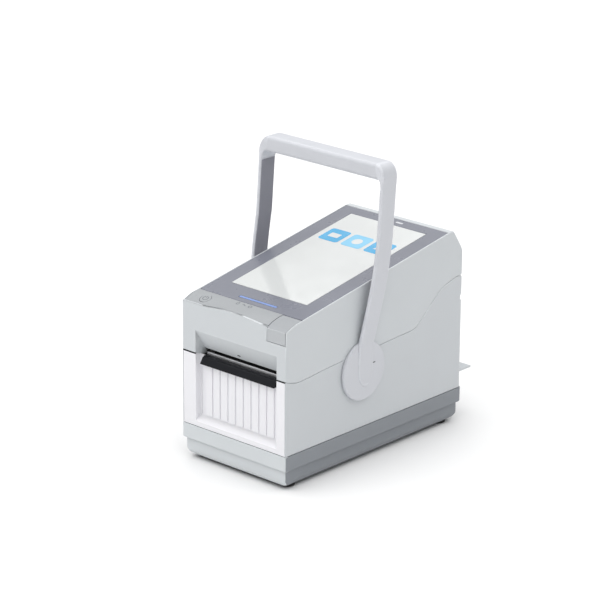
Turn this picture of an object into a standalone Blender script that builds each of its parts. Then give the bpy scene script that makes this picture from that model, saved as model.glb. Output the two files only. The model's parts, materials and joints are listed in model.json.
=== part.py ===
"""Desktop label printer with a tilted touch display, a swing-up carry handle and a battery base.

Metres, +Z up. The front faces -Y, the object stands on z = 0, and x = 0 is the middle of the body.
"""

import math

import bmesh
import bpy
from mathutils import Matrix, Vector

MM = 0.001
GAP = 0.3 * MM
BORE_GAP = 0.2 * MM
WALL = 2.4 * MM

# Overall body
WIDTH = 119.5 * MM
DEPTH = 228.0 * MM
GUIDE_REACH = 22.0 * MM
BASE_LIP = 0.6 * MM
FOOT_HEIGHT = 2.6 * MM
FOOT_RADIUS = 6.0 * MM
BASE_HEIGHT = 29.4 * MM
BASE_STEP_DROP = 13.5 * MM
BASE_STEP_INSET = 2.3 * MM
BASE_ROUND = 7.0 * MM
FRONT_CORNER = 1.6 * MM
REAR_CORNER = 5.0 * MM
SPLIT_RISE = 66.1 * MM
CREASE_RISE = 87.7 * MM
FACE_RISE = 108.7 * MM
SEAM_SAG = 3.6 * MM
SEAM_SAG_BACK = 19.0 * MM
SEAM_FOOT = 4.6 * MM
SEAM_FOOT_BACK = 67.0 * MM
SEAM_BEND = 9.0 * MM
SEAM_STEP = 33.0 * MM
SEAM_CROWN_BACK = 28.5 * MM
HINGE_OPEN_GAP = 2.8 * MM

# Display
TILT = math.radians(9.75)
BEZEL_BACK = 20.6 * MM
BEZEL_RISE = 114.9 * MM
BEZEL_LENGTH = 188.3 * MM
BEZEL_WIDTH = 116.7 * MM
BEZEL_THICK = 3.0 * MM
BEZEL_CORNER = 2.5 * MM
LIGHT_LENGTH = 42.0 * MM
LIGHT_WIDTH = 2.2 * MM
LIGHT_START = 6.0 * MM
SCREEN_LENGTH = 154.2 * MM
SCREEN_WIDTH = 85.9 * MM
SCREEN_START = 22.8 * MM

# Label path and mechanism
PATH_X = 2.4 * MM
RECESS_WIDTH = 93.0 * MM
RECESS_DEPTH = 6.0 * MM
NOSE_DEPTH = 11.0 * MM
SLOT_HEIGHT = 3.6 * MM
MEDIA_WIDTH = 80.0 * MM
PLATEN_RADIUS = 7.0 * MM
PLATEN_ROOM = 9.7 * MM
SHAFT_RADIUS = 3.0 * MM
TEAR_WIDTH = 85.0 * MM
RIB_PITCH = 8.9 * MM
RIB_GROOVE = 0.9 * MM
RIB_HEIGHT = 0.7 * MM
GUIDE_TRAVEL = 27.0 * MM
GEAR_MODULE = 0.8 * MM
PLATEN_TEETH = 24
IDLER_TEETH = 32
PINION_TEETH = 12
GUIDE_TEETH = 16
TOOTH_DEPTH = 1.9 * GEAR_MODULE
TOOTH_FOOT = 0.30
TOOTH_TIP = 0.14
BUSH_RADIUS = 5.0 * MM
POST_RADIUS = 2.0 * MM
MOTOR_SHAFT = 1.5 * MM
MOTOR_HALF = 17.5 * MM
HEAD_PIVOT = 1.5 * MM
FRAME_THICK = 1.5 * MM
TRAY_WALL = 1.6 * MM
LATCH_RADIUS = 2.0 * MM
HOOK_THICK = 2.6 * MM
CARRIER_THICK = 2.0 * MM

# Control strip, lever and button
STRIP_THICK = 2.6 * MM
STRIP_CREST = 2.9 * MM
LEVER_LEFT = 37.8 * MM
LEVER_PIN = 0.8 * MM
LEVER_RIB_X = (46.5 * MM, 49.7 * MM)
BUTTON_X = -41.5 * MM
BUTTON_RADIUS = 5.0 * MM

# Hinges and rear sockets
COVER_LUG_X = (46.0 * MM, 49.6 * MM)
HOUSING_LUG_X = (50.0 * MM, 53.6 * MM)
INLET_WIDTH = 84.0 * MM
INLET_HEIGHT = 5.0 * MM
PORT_X = (-46.0 * MM, -12.0 * MM)
DC_X = 30.0 * MM
DC_RADIUS = 5.0 * MM
GUIDE_EAR_X = (46.5 * MM, 51.0 * MM)
GUIDE_THICK = 1.6 * MM
GUIDE_PIN = 1.0 * MM

# Handle
PIVOT_BACK = 94.0 * MM
PIVOT_RISE = 52.0 * MM
BOSS_RADIUS = 26.3 * MM
BOSS_THICK = 2.8 * MM
BOLT_RADIUS = 4.0 * MM
BOLT_HEAD = 3.1 * MM
HANDLE_REACH = 10.55 * MM
ARM_THICK = 3.2 * MM
ARM_DEPTH = 18.5 * MM
LINER_THICK = 0.9 * MM
ARM_EDGE = 0.9 * MM
HANDLE_TOP_RISE = 230.2 * MM
BAR_HEIGHT = 14.2 * MM

# Places worked out from the sizes above
FRONT = -(DEPTH + GUIDE_REACH - BASE_LIP) / 2
REAR = FRONT + DEPTH
HALF = WIDTH / 2
SEAM_Z = FOOT_HEIGHT + BASE_HEIGHT
SPLIT_Z = SEAM_Z + SPLIT_RISE
CREASE_Z = SEAM_Z + CREASE_RISE
FACE_Z = SEAM_Z + FACE_RISE
BEZEL_Y = FRONT + BEZEL_BACK
BEZEL_Z = SEAM_Z + BEZEL_RISE
BEZEL_REAR_Y = BEZEL_Y + BEZEL_LENGTH * math.cos(TILT)
BEZEL_REAR_Z = BEZEL_Z + BEZEL_LENGTH * math.sin(TILT)
RECESS_LEFT = PATH_X - RECESS_WIDTH / 2
RECESS_RIGHT = PATH_X + RECESS_WIDTH / 2
SLOT_TOP = SPLIT_Z + 2.1 * MM
BLADE_TOP = SLOT_TOP - SLOT_HEIGHT
PLATEN_Y = FRONT + NOSE_DEPTH + WALL + PLATEN_ROOM
PLATEN_Z = BLADE_TOP + 0.9 * MM - PLATEN_RADIUS
HINGE_Y = REAR - 3.5 * MM
REAR_SEAM_Z = SPLIT_Z + SEAM_STEP + 6.1 * MM
HINGE_Z = REAR_SEAM_Z - 2.6 * MM
HINGE_LUG = 3.1 * MM
HINGE_PIN = 1.2 * MM
PIVOT_Y = FRONT + PIVOT_BACK
PIVOT_Z = SEAM_Z + PIVOT_RISE
HANDLE_TOP = SEAM_Z + HANDLE_TOP_RISE
HANDLE_OUTER = HALF + HANDLE_REACH
LEVER_BOTTOM = SEAM_Z + 97.3 * MM
LEVER_AXIS_Y = BEZEL_Y - 3.2 * MM
LEVER_AXIS_Z = BEZEL_Z - 3.9 * MM
BUTTON_Y = FRONT + 10.0 * MM
INLET_Z = SEAM_Z + 17.0 * MM
PORT_Z = (SEAM_Z + 32.0 * MM, SEAM_Z + 46.0 * MM)
DC_Z = SEAM_Z + 39.0 * MM
GUIDE_AXIS_Y = REAR + 3.0 * MM
GUIDE_AXIS_Z = SEAM_Z + 11.0 * MM
TEAR_BOTTOM = BLADE_TOP - 7.6 * MM
FRAME_X = (RECESS_LEFT - 2.0 * MM, RECESS_RIGHT + 0.8 * MM)
FRAME_Y = (FRONT + 15.0 * MM, FRONT + 66.0 * MM)
GEAR_X = (FRAME_X[0] - FRAME_THICK - 5.2 * MM, FRAME_X[0] - FRAME_THICK - 1.2 * MM)
TRAY_X = HALF - WALL - 2.0 * MM
TRAY_Y = (FRONT + 70.0 * MM, REAR - 9.0 * MM)
TRAY_Z = SEAM_Z + 13.0 * MM
RACK_Z = (SEAM_Z + 6.6 * MM, SEAM_Z + 9.4 * MM)
RACK_Y = (TRAY_Y[0] + TRAY_Y[1]) / 2 - 4.0 * MM
LATCH_Y = FRONT + 26.0 * MM
LATCH_Z = CREASE_Z + 2.0 * MM
HOOK_X = (WALL + GAP / 2 - HALF, WALL + GAP / 2 - HALF + HOOK_THICK)
HEAD_X = (RECESS_LEFT + 2.4 * MM, RECESS_RIGHT - 2.6 * MM)
HEAD_AXIS_Y = FRONT + 52.0 * MM
HEAD_AXIS_Z = SPLIT_Z + 15.0 * MM
ROUND = 32


def gear_tip(teeth):
    """Radius over the teeth of a gear."""
    return GEAR_MODULE * (teeth / 2 + 0.8)


# The gears stand in a chain: platen, idler below and behind it, motor pinion below that.
IDLER_ANGLE = math.radians(-28)
IDLER_REACH = gear_tip(PLATEN_TEETH) + gear_tip(IDLER_TEETH) + GAP
IDLER_Y = PLATEN_Y + IDLER_REACH * math.cos(IDLER_ANGLE)
IDLER_Z = PLATEN_Z + IDLER_REACH * math.sin(IDLER_ANGLE)
MOTOR_FORWARD = 4.0 * MM
MOTOR_REACH = gear_tip(IDLER_TEETH) + gear_tip(PINION_TEETH) + GAP
MOTOR_Y = IDLER_Y - MOTOR_FORWARD
MOTOR_Z = IDLER_Z - math.sqrt(MOTOR_REACH ** 2 - MOTOR_FORWARD ** 2)
RACK_OFFSET = gear_tip(GUIDE_TEETH) + GAP

for stale in list(bpy.data.objects):
    bpy.data.objects.remove(stale, do_unlink=True)

parts = bpy.data.collections.new("label_printer")
cutters = bpy.data.collections.new("cutters")
bpy.context.scene.collection.children.link(parts)
bpy.context.scene.collection.children.link(cutters)


def material(name, colour, roughness=0.5, metallic=0.0):
    made = bpy.data.materials.new(name)
    made.use_nodes = True
    shader = made.node_tree.nodes["Principled BSDF"]
    shader.inputs["Base Color"].default_value = (*colour, 1.0)
    shader.inputs["Roughness"].default_value = roughness
    shader.inputs["Metallic"].default_value = metallic
    return made


BODY_GREY = material("body_grey", (0.57, 0.60, 0.62), 0.45)
FRONT_WHITE = material("front_white", (0.86, 0.86, 0.90), 0.40)
STRIP_GREY = material("strip_grey", (0.42, 0.44, 0.47), 0.45)
BEZEL_GREY = material("bezel_grey", (0.29, 0.31, 0.36), 0.25)
BASE_GREY = material("base_grey", (0.22, 0.24, 0.27), 0.50)
HANDLE_GREY = material("handle_grey", (0.60, 0.62, 0.65), 0.42)
LINER_GREY = material("liner_grey", (0.19, 0.20, 0.23), 0.55)
SCREEN_WHITE = material("screen_white", (0.82, 0.83, 0.83), 0.12)
RUBBER = material("black_rubber", (0.015, 0.015, 0.016), 0.75)
BLACK = material("black_plastic", (0.02, 0.022, 0.026), 0.40)
STEEL = material("steel", (0.62, 0.63, 0.65), 0.28, 1.0)
ZINC = material("zinc_plate", (0.50, 0.51, 0.52), 0.40, 1.0)
ALUMINIUM = material("aluminium", (0.72, 0.73, 0.74), 0.35, 1.0)
ACETAL = material("white_acetal", (0.80, 0.79, 0.74), 0.40)
BOARD = material("circuit_board", (0.02, 0.16, 0.08), 0.50)
BATTERY = material("battery_case", (0.05, 0.055, 0.065), 0.55)
LIGHT = material("light_guide", (0.20, 0.45, 0.85), 0.30)


def keep(made, group, mat):
    """Puts an object in its collection; a cutter is hidden from a render."""
    for owner in list(made.users_collection):
        owner.objects.unlink(made)
    group.objects.link(made)
    if group is cutters:
        made.hide_render = True
        made.display_type = "WIRE"
    elif mat is not None:
        made.data.materials.clear()
        made.data.materials.append(mat)
    return made


def from_bmesh(name, bm, group, mat, smooth=True):
    bmesh.ops.recalc_face_normals(bm, faces=bm.faces)
    mesh = bpy.data.meshes.new(name)
    bm.to_mesh(mesh)
    bm.free()
    if smooth:
        mesh.shade_smooth()
        mesh.set_sharp_from_angle(angle=math.radians(35))
    made = bpy.data.objects.new(name, mesh)
    bpy.context.scene.collection.objects.link(made)
    return keep(made, group, mat)


def bevel(obj, width, segments=2):
    made = obj.modifiers.new("bevel", "BEVEL")
    made.width = width
    made.segments = segments
    made.limit_method = "ANGLE"
    made.angle_limit = math.radians(40)
    return obj


def boolean(obj, other, operation="DIFFERENCE"):
    made = obj.modifiers.new(other.name, "BOOLEAN")
    made.operation = operation
    made.solver = "EXACT"
    made.object = other
    return obj


def weld(obj):
    """Closes the hairline slivers that a cut can leave where it just misses a corner."""
    made = obj.modifiers.new("weld", "WELD")
    made.merge_threshold = 0.002 * MM
    return obj


def box(name, x, y, z, group=parts, mat=None, edge=0.0):
    """A box between the pairs x, y and z."""
    bm = bmesh.new()
    bmesh.ops.create_cube(bm, size=1.0)
    size = Vector((x[1] - x[0], y[1] - y[0], z[1] - z[0]))
    middle = Vector((x[0] + x[1], y[0] + y[1], z[0] + z[1])) / 2
    bmesh.ops.scale(bm, vec=size, verts=bm.verts)
    made = from_bmesh(name, bm, group, mat, smooth=False)
    made.location = middle
    if edge:
        bevel(made, edge)
    return made


AXIS_TURN = {
    "X": Matrix.Rotation(math.radians(90), 4, "Y"),
    "Y": Matrix.Rotation(math.radians(-90), 4, "X"),
    "Z": Matrix.Identity(4),
}


def rod(name, axis, middle, radius, length, group=parts, mat=None, sides=ROUND, end_radius=None,
        edge=0.0):
    """A cylinder or cone along an axis, with its origin at its middle."""
    bm = bmesh.new()
    bmesh.ops.create_cone(bm, cap_ends=True, segments=sides, radius1=radius,
                          radius2=radius if end_radius is None else end_radius, depth=length)
    bmesh.ops.transform(bm, matrix=AXIS_TURN[axis], verts=bm.verts)
    made = from_bmesh(name, bm, group, mat)
    made.location = middle
    if edge:
        bevel(made, edge)
    return made


def side_plate(name, outline, x, group=parts, mat=None, edge=0.0, place=(0.0, 0.0, 0.0)):
    """A flat outline of (y, z) points, as thick as the pair x."""
    curve = bpy.data.curves.new(name, "CURVE")
    curve.dimensions = "2D"
    curve.fill_mode = "BOTH"
    curve.extrude = (x[1] - x[0]) / 2
    spline = curve.splines.new("POLY")
    spline.points.add(len(outline) - 1)
    for point, (y, z) in zip(spline.points, outline):
        point.co = (y, z, 0.0, 1.0)
    spline.use_cyclic_u = True
    holder = bpy.data.objects.new(name + "_curve", curve)
    bpy.context.scene.collection.objects.link(holder)
    bpy.context.view_layer.update()
    graph = bpy.context.evaluated_depsgraph_get()
    mesh = bpy.data.meshes.new_from_object(holder.evaluated_get(graph))
    bpy.data.objects.remove(holder, do_unlink=True)
    bm = bmesh.new()
    bm.from_mesh(mesh)
    bpy.data.meshes.remove(mesh)
    bmesh.ops.remove_doubles(bm, verts=bm.verts, dist=0.001 * MM)
    turn = Matrix(((0, 0, 1, (x[0] + x[1]) / 2), (1, 0, 0, 0), (0, 1, 0, 0), (0, 0, 0, 1)))
    bmesh.ops.transform(bm, matrix=turn, verts=bm.verts)
    bmesh.ops.dissolve_limit(bm, angle_limit=math.radians(0.02), verts=bm.verts, edges=bm.edges)
    made = from_bmesh(name, bm, group, mat)
    made.location = place
    if edge:
        bevel(made, edge)
    return made


def loft(name, rings, group=parts, mat=None):
    """Closed solid through rings with the same number of points."""
    bm = bmesh.new()
    rows = [[bm.verts.new(point) for point in ring] for ring in rings]
    count = len(rows[0])
    for low, high in zip(rows, rows[1:]):
        for i in range(count):
            j = (i + 1) % count
            bm.faces.new((low[i], low[j], high[j], high[i]))
    bm.faces.new(rows[0][::-1])
    bm.faces.new(rows[-1])
    return from_bmesh(name, bm, group, mat)


def arc(centre, radius, start, stop, steps):
    """(u, v) points on an arc, with angles in degrees."""
    turn = [math.radians(start + (stop - start) * i / steps) for i in range(steps + 1)]
    return [(centre[0] + radius * math.cos(a), centre[1] + radius * math.sin(a)) for a in turn]


def smooth_line(knots, steps=5):
    """A smooth curve through the knots, which leaves each one along the chord of its neighbours."""
    points = [Vector(knot) for knot in knots]
    slopes = [points[1] - points[0]]
    slopes += [(after - before) / 2 for before, after in zip(points, points[2:])]
    slopes.append(points[-1] - points[-2])
    line = []
    for i, (start, end) in enumerate(zip(points, points[1:])):
        for k in range(steps):
            t = k / steps
            swing = (t - 2 * t ** 2 + t ** 3) * slopes[i] + (t ** 3 - t ** 2) * slopes[i + 1]
            place = start + (end - start) * (3 * t ** 2 - 2 * t ** 3) + swing
            line.append(tuple(place))
    return line + [tuple(points[-1])]


def plan_ring(x, y, z, front_radius, rear_radius, steps=4):
    """A rectangle in plan with rounded corners, at height z."""
    corners = [
        arc((x[1] - front_radius, y[0] + front_radius), front_radius, -90, 0, steps),
        arc((x[1] - rear_radius, y[1] - rear_radius), rear_radius, 0, 90, steps),
        arc((x[0] + rear_radius, y[1] - rear_radius), rear_radius, 90, 180, steps),
        arc((x[0] + front_radius, y[0] + front_radius), front_radius, 180, 270, steps),
    ]
    return [Vector((u, v, z)) for corner in corners for u, v in corner]


def plan_block(name, x, y, z, front_radius, rear_radius, group=parts, mat=None):
    rings = [plan_ring(x, y, level, front_radius, rear_radius) for level in z]
    return loft(name, rings, group, mat)


def tilted(obj, up=0.0, along=0.0):
    """Places an object built on the display's own plane: y up the slope, z out of it."""
    turn = Matrix.Translation((0, BEZEL_Y, BEZEL_Z)) @ Matrix.Rotation(TILT, 4, "X")
    obj.matrix_world = turn @ Matrix.Translation((obj.location.x, obj.location.y + along,
                                                  obj.location.z + up))
    return obj


def smooth_step(low, high, value):
    t = min(1.0, max(0.0, (value - low) / (high - low)))
    return t * t * (3 - 2 * t)


def strip_height(x, y):
    """Height of the sloping control strip, with its low crest in the middle."""
    crest = smooth_step(-38 * MM, -10 * MM, x) * (1 - smooth_step(4 * MM, 38 * MM, x))
    low = FACE_Z + STRIP_CREST * crest
    t = min(1.0, max(0.0, (y - FRONT) / BEZEL_BACK))
    bow = 1.3 * MM * math.sin(math.pi * t) * (1 - crest)
    return low + (BEZEL_Z - low) * t + bow


def strip_sheet(name, x, y, drop, thick, group, mat, columns=28, rows=5):
    """A sheet that follows the strip, its top `drop` below it."""
    bm = bmesh.new()
    bmesh.ops.create_grid(bm, x_segments=columns, y_segments=rows, size=0.5)
    for vert in bm.verts:
        u, v = vert.co.x + 0.5, vert.co.y + 0.5
        vert.co.x = x[0] + (x[1] - x[0]) * u
        vert.co.y = y[0] + (y[1] - y[0]) * v
        vert.co.z = strip_height(vert.co.x, vert.co.y) - drop
    top = list(bm.faces)
    made = bmesh.ops.extrude_face_region(bm, geom=top)
    lifted = [item for item in made["geom"] if isinstance(item, bmesh.types.BMVert)]
    for vert in lifted:
        vert.co.z -= thick
    return from_bmesh(name, bm, group, mat)


# ---------------------------------------------------------------- body outline


def seam_points(offset):
    """(y, z) of the line where the cover meets the housing: a slow sag, then an S up to the rear step."""
    sag = (FRONT + SEAM_SAG_BACK, SPLIT_Z - SEAM_SAG)
    foot = (REAR - SEAM_FOOT_BACK, SPLIT_Z + SEAM_FOOT)
    crown = (REAR - SEAM_CROWN_BACK, SPLIT_Z + SEAM_STEP)
    knots = [
        (FRONT, SPLIT_Z), ((FRONT + sag[0]) / 2, SPLIT_Z - 0.75 * SEAM_SAG), sag,
        (FRONT + DEPTH * 0.26, SPLIT_Z - 0.1 * SEAM_SAG), (FRONT + DEPTH * 0.45,
                                                           SPLIT_Z + 0.25 * SEAM_FOOT),
        (foot[0] - DEPTH * 0.09, SPLIT_Z + 0.72 * SEAM_FOOT), foot,
        (foot[0] + SEAM_BEND, foot[1] + 0.62 * SEAM_BEND),
        (crown[0] - SEAM_BEND, crown[1] - 0.62 * SEAM_BEND),
        crown, (REAR - 0.45 * SEAM_CROWN_BACK, REAR_SEAM_Z - 1.2 * MM), (REAR, REAR_SEAM_Z),
    ]
    return [(y, z + offset) for y, z in smooth_line(knots)]


def rear_arc(inset):
    """(y, z) of the rounded back of the cover, from the seam up to the display's rear edge."""
    back = REAR - inset
    knots = [
        (back, REAR_SEAM_Z), (back - 0.4 * MM, REAR_SEAM_Z + 10 * MM),
        (back - 2.4 * MM, REAR_SEAM_Z + 20.5 * MM),
        (back - 7.6 * MM, REAR_SEAM_Z + 30 * MM),
        (BEZEL_REAR_Y + 6.2 * MM - inset * 0.9, BEZEL_REAR_Z + 0.2 * MM - inset * 0.5),
    ]
    return smooth_line(knots, 4)


def face_line():
    """(y, z) up the front of the cover, above the split."""
    return [(FRONT + 0.9 * MM, FACE_Z + 3.2 * MM), (FRONT, CREASE_Z)]


def above_seam(name, extra=0.0):
    """Cutter for everything above the seam, or a gap lower."""
    line = seam_points(extra)
    top = BEZEL_REAR_Z + 40 * MM
    outline = [(FRONT - 20 * MM, line[0][1])] + line
    outline += [(REAR + 20 * MM, line[-1][1]), (REAR + 20 * MM, top), (FRONT - 20 * MM, top)]
    return side_plate(name, outline, (-HALF - 20 * MM, HALF + 20 * MM), cutters)


def cover_outer():
    line = seam_points(GAP / 2)
    slope_end = (BEZEL_REAR_Y + 1.5 * MM, BEZEL_REAR_Z + 0.3 * MM)
    outline = line + rear_arc(0.0)[1:] + [slope_end, (BEZEL_Y, BEZEL_Z)] + face_line()
    return side_plate("cover_shell", outline, (-HALF, HALF), parts, BODY_GREY)


def make_cover():
    cover = cover_outer()
    plan = plan_block("cut_cover_plan", (-HALF, HALF), (FRONT, REAR), (0.0, 0.4), FRONT_CORNER,
                      REAR_CORNER, cutters)
    boolean(cover, plan, "INTERSECT")

    # Everything above the sloping strip goes.
    above = strip_sheet("cut_strip_air", (-HALF - MM, HALF + MM), (FRONT - MM, BEZEL_Y), 0.0, -20 * MM,
                        cutters, None)
    boolean(cover, above)

    # Inside: open underneath and under the display, with a sloping wall behind the front recess.
    inner_x = HALF - WALL
    nose = NOSE_DEPTH + WALL
    room = [
        (FRONT + nose, SPLIT_Z - 30 * MM), (FRONT + nose, SLOT_TOP + WALL),
        (FRONT + WALL, CREASE_Z + 2.0 * MM),
        (FRONT + WALL + 0.9 * MM, FACE_Z - 4 * MM), (BEZEL_Y, BEZEL_Z - 4 * MM),
        (BEZEL_Y, BEZEL_Z + 10 * MM),
        (BEZEL_REAR_Y - 2 * MM, BEZEL_REAR_Z + 10 * MM), (BEZEL_REAR_Y - 2 * MM, BEZEL_REAR_Z - 3 * MM),
    ]
    room += rear_arc(WALL)[:-1][::-1] + [(REAR - WALL, SPLIT_Z - 30 * MM)]
    boolean(cover, side_plate("cut_cover_room", room, (-inner_x, inner_x), cutters))

    # Ledge for the display bezel and for the strip.
    seat_x = BEZEL_WIDTH / 2 + GAP
    seat = box("cut_bezel_seat", (-seat_x, seat_x), (-GAP, BEZEL_LENGTH + GAP),
               (-BEZEL_THICK - GAP, 12 * MM), cutters)
    boolean(cover, tilted(seat))
    strip_seat = strip_sheet("cut_strip_seat", (-seat_x, seat_x), (FRONT + WALL, BEZEL_Y + GAP), 3.0 * MM,
                             -23 * MM,
                             cutters, None)
    boolean(cover, strip_seat)

    # Front recess that slopes in to the label slot.
    wedge = [(FRONT - MM, CREASE_Z - 1.2 * MM), (FRONT, CREASE_Z - 1.2 * MM),
             (FRONT + NOSE_DEPTH, SLOT_TOP),
             (FRONT + nose + MM, SLOT_TOP), (FRONT + nose + MM, SPLIT_Z - 20 * MM),
             (FRONT - MM, SPLIT_Z - 20 * MM)]
    boolean(cover, side_plate("cut_nose", wedge, (RECESS_LEFT, RECESS_RIGHT), cutters))

    # Notch for the release lever.
    lever = box("cut_lever", (LEVER_LEFT - GAP, seat_x), (FRONT - MM, FRONT + WALL + 1.2 * MM),
                (LEVER_BOTTOM - GAP, FACE_Z + 10 * MM), cutters)
    boolean(cover, lever)

    # Bearing for the release lever's pin, and room for the lever's eye and for the power button.
    eye = (sum(LEVER_RIB_X) / 2, LEVER_AXIS_Y, LEVER_AXIS_Z)
    for x in ((LEVER_RIB_X[0] - 2.4 * MM, LEVER_RIB_X[0] - 0.4 * MM),
              (LEVER_RIB_X[1] + 0.4 * MM, LEVER_RIB_X[1] + 2.4 * MM)):
        boolean(cover, box("join_lever_lug", x, (LEVER_AXIS_Y - 1.8 * MM, LEVER_AXIS_Y + 2.4 * MM),
                           (LEVER_AXIS_Z - 2.6 * MM, LEVER_AXIS_Z + 0.1 * MM), cutters), "UNION")
    boolean(cover, box("cut_lever_eye", (LEVER_RIB_X[0] - 0.4 * MM, LEVER_RIB_X[1] + 0.4 * MM),
                       (LEVER_AXIS_Y - 5 * MM, LEVER_AXIS_Y + 3.4 * MM),
                       (LEVER_AXIS_Z - 6 * MM, LEVER_AXIS_Z + 6 * MM), cutters))
    boolean(cover, rod("cut_lever_bearing", "X", eye, LEVER_PIN + BORE_GAP, 12 * MM, cutters, sides=16))
    boolean(cover, rod("cut_button_room", "Z", (BUTTON_X, BUTTON_Y, FACE_Z), BUTTON_RADIUS + MM, 30 * MM,
                       cutters))

    # Hinge lugs join the rear wall, and the housing's lugs get a notch.
    for side in (-1, 1):
        lug = hinge_lug("cut_cover_lug", side, COVER_LUG_X, REAR_SEAM_Z + 9 * MM)
        boolean(cover, lug, "UNION")
        x = sorted((side * (HOUSING_LUG_X[0] - GAP), side * (HOUSING_LUG_X[1] + GAP)))
        top = HINGE_Z + HINGE_LUG + GAP
        boolean(cover, box("cut_lug_room", x, (HINGE_Y - HINGE_LUG - 2 * GAP, REAR + 2 * MM),
                           (HINGE_Z - 9 * MM, top),
                           cutters))
        bore = rod("cut_cover_bore", "X", (side * sum(COVER_LUG_X) / 2, HINGE_Y, HINGE_Z),
                   HINGE_PIN + BORE_GAP,
                   8 * MM, cutters, sides=20)
        boolean(cover, bore)
    return weld(cover)


def hinge_lug(name, side, x, tip_z):
    """A round-ended tab on the hinge axis that runs up or down to tip_z along the rear wall."""
    pair = sorted((side * x[0], side * x[1]))
    inner = HINGE_Y - HINGE_LUG
    outer = REAR - 0.4 * MM
    if tip_z > HINGE_Z:
        outline = arc((HINGE_Y, HINGE_Z), HINGE_LUG, 180, 360, 10)
        outline += [(outer - 0.9 * MM, tip_z), (inner, tip_z)]
    else:
        outline = arc((HINGE_Y, HINGE_Z), HINGE_LUG, 0, 180, 10) + [(inner, tip_z), (outer, tip_z)]
    return side_plate(name, outline, pair, cutters)


def make_housing():
    housing = plan_block("housing", (-HALF, HALF), (FRONT, REAR), (SEAM_Z + GAP, REAR_SEAM_Z + 12 * MM),
                         FRONT_CORNER,
                         REAR_CORNER, parts, BODY_GREY)
    boolean(housing, above_seam("cut_above_housing", -GAP / 2))

    # Rear edge steps down so that the cover's back can swing over it.
    drop = REAR_SEAM_Z - HINGE_OPEN_GAP
    boolean(housing, box("cut_hinge_gap", (-HALF - MM, HALF + MM), (REAR - 4.4 * MM, REAR + 9 * MM),
                         (drop, REAR_SEAM_Z + 20 * MM), cutters))

    # Room inside, with a thicker rear wall where the finger groove is.
    floor = SEAM_Z + GAP + WALL
    inner_x = HALF - WALL
    back = REAR - WALL
    groove_z = REAR_SEAM_Z - 21.0 * MM
    room = [
        (FRONT - MM, floor), (back, floor), (back, groove_z - 9 * MM),
        (back - 4.6 * MM, groove_z - 5 * MM),
        (back - 4.6 * MM, groove_z + 9 * MM), (back, groove_z + 13 * MM), (back, REAR_SEAM_Z + 20 * MM),
        (FRONT - MM, REAR_SEAM_Z + 20 * MM),
    ]
    boolean(housing, side_plate("cut_housing_room", room, (-inner_x, inner_x), cutters))
    front_x = HALF - 1.2 * MM
    boolean(housing, box("cut_front_seat", (-front_x, front_x), (FRONT - MM, FRONT + WALL + GAP),
                         (SEAM_Z, SPLIT_Z + 9 * MM), cutters))
    groove = [(REAR + MM, groove_z + 7.2 * MM), (REAR - 4.2 * MM, groove_z + 1.2 * MM),
              (REAR - 4.4 * MM, groove_z - 1.6 * MM), (REAR + MM, groove_z - 5.4 * MM)]
    boolean(housing, side_plate("cut_groove", groove, (-HALF - MM, HALF + MM), cutters))

    # Rear openings: fanfold inlet, sockets.
    boolean(housing, box("cut_inlet", (PATH_X - INLET_WIDTH / 2, PATH_X + INLET_WIDTH / 2),
                         (REAR - 9 * MM, REAR + MM),
                         (INLET_Z, INLET_Z + INLET_HEIGHT), cutters))
    boolean(housing, box("cut_ports", (PORT_X[0] - GAP, PORT_X[1] + GAP), (REAR - 9 * MM, REAR + MM),
                         (PORT_Z[0] - GAP, PORT_Z[1] + GAP), cutters))
    boolean(housing, rod("cut_dc", "Y", (DC_X, REAR, DC_Z), DC_RADIUS + GAP, 14 * MM, cutters))
    for side in (-1, 1):
        boolean(housing, rod("cut_pivot", "X", (side * HALF, PIVOT_Y, PIVOT_Z), BOLT_RADIUS + GAP,
                             12 * MM, cutters))
        lug = hinge_lug("join_housing_lug", side, HOUSING_LUG_X, HINGE_Z - 12 * MM)
        boolean(housing, lug, "UNION")
        x = sorted((side * (COVER_LUG_X[0] - GAP), side * (COVER_LUG_X[1] + GAP / 2)))
        boolean(housing, box("cut_cover_lug_room", x, (HINGE_Y - HINGE_LUG - 2 * GAP, REAR + MM),
                             (HINGE_Z - HINGE_LUG - 2 * GAP, HINGE_Z + 20 * MM), cutters))
        bore = rod("cut_housing_bore", "X", (side * sum(HOUSING_LUG_X) / 2, HINGE_Y, HINGE_Z),
                   HINGE_PIN + BORE_GAP,
                   7 * MM, cutters, sides=20)
        boolean(housing, bore)
        hook = sorted((side * GUIDE_EAR_X[0], side * GUIDE_EAR_X[1]))
        ear = box("join_guide_ear", hook, (REAR - 1.0 * MM, GUIDE_AXIS_Y + 2.2 * MM),
                  (GUIDE_AXIS_Z - 2.2 * MM, GUIDE_AXIS_Z + 2.2 * MM), cutters, edge=0.6 * MM)
        boolean(housing, ear, "UNION")
        boolean(housing, rod("cut_guide_bore", "X", (side * sum(GUIDE_EAR_X) / 2, GUIDE_AXIS_Y,
                                                     GUIDE_AXIS_Z),
                             GUIDE_PIN + BORE_GAP, 9 * MM, cutters, sides=16))
    return weld(housing)


# ---------------------------------------------------------------- base


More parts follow.
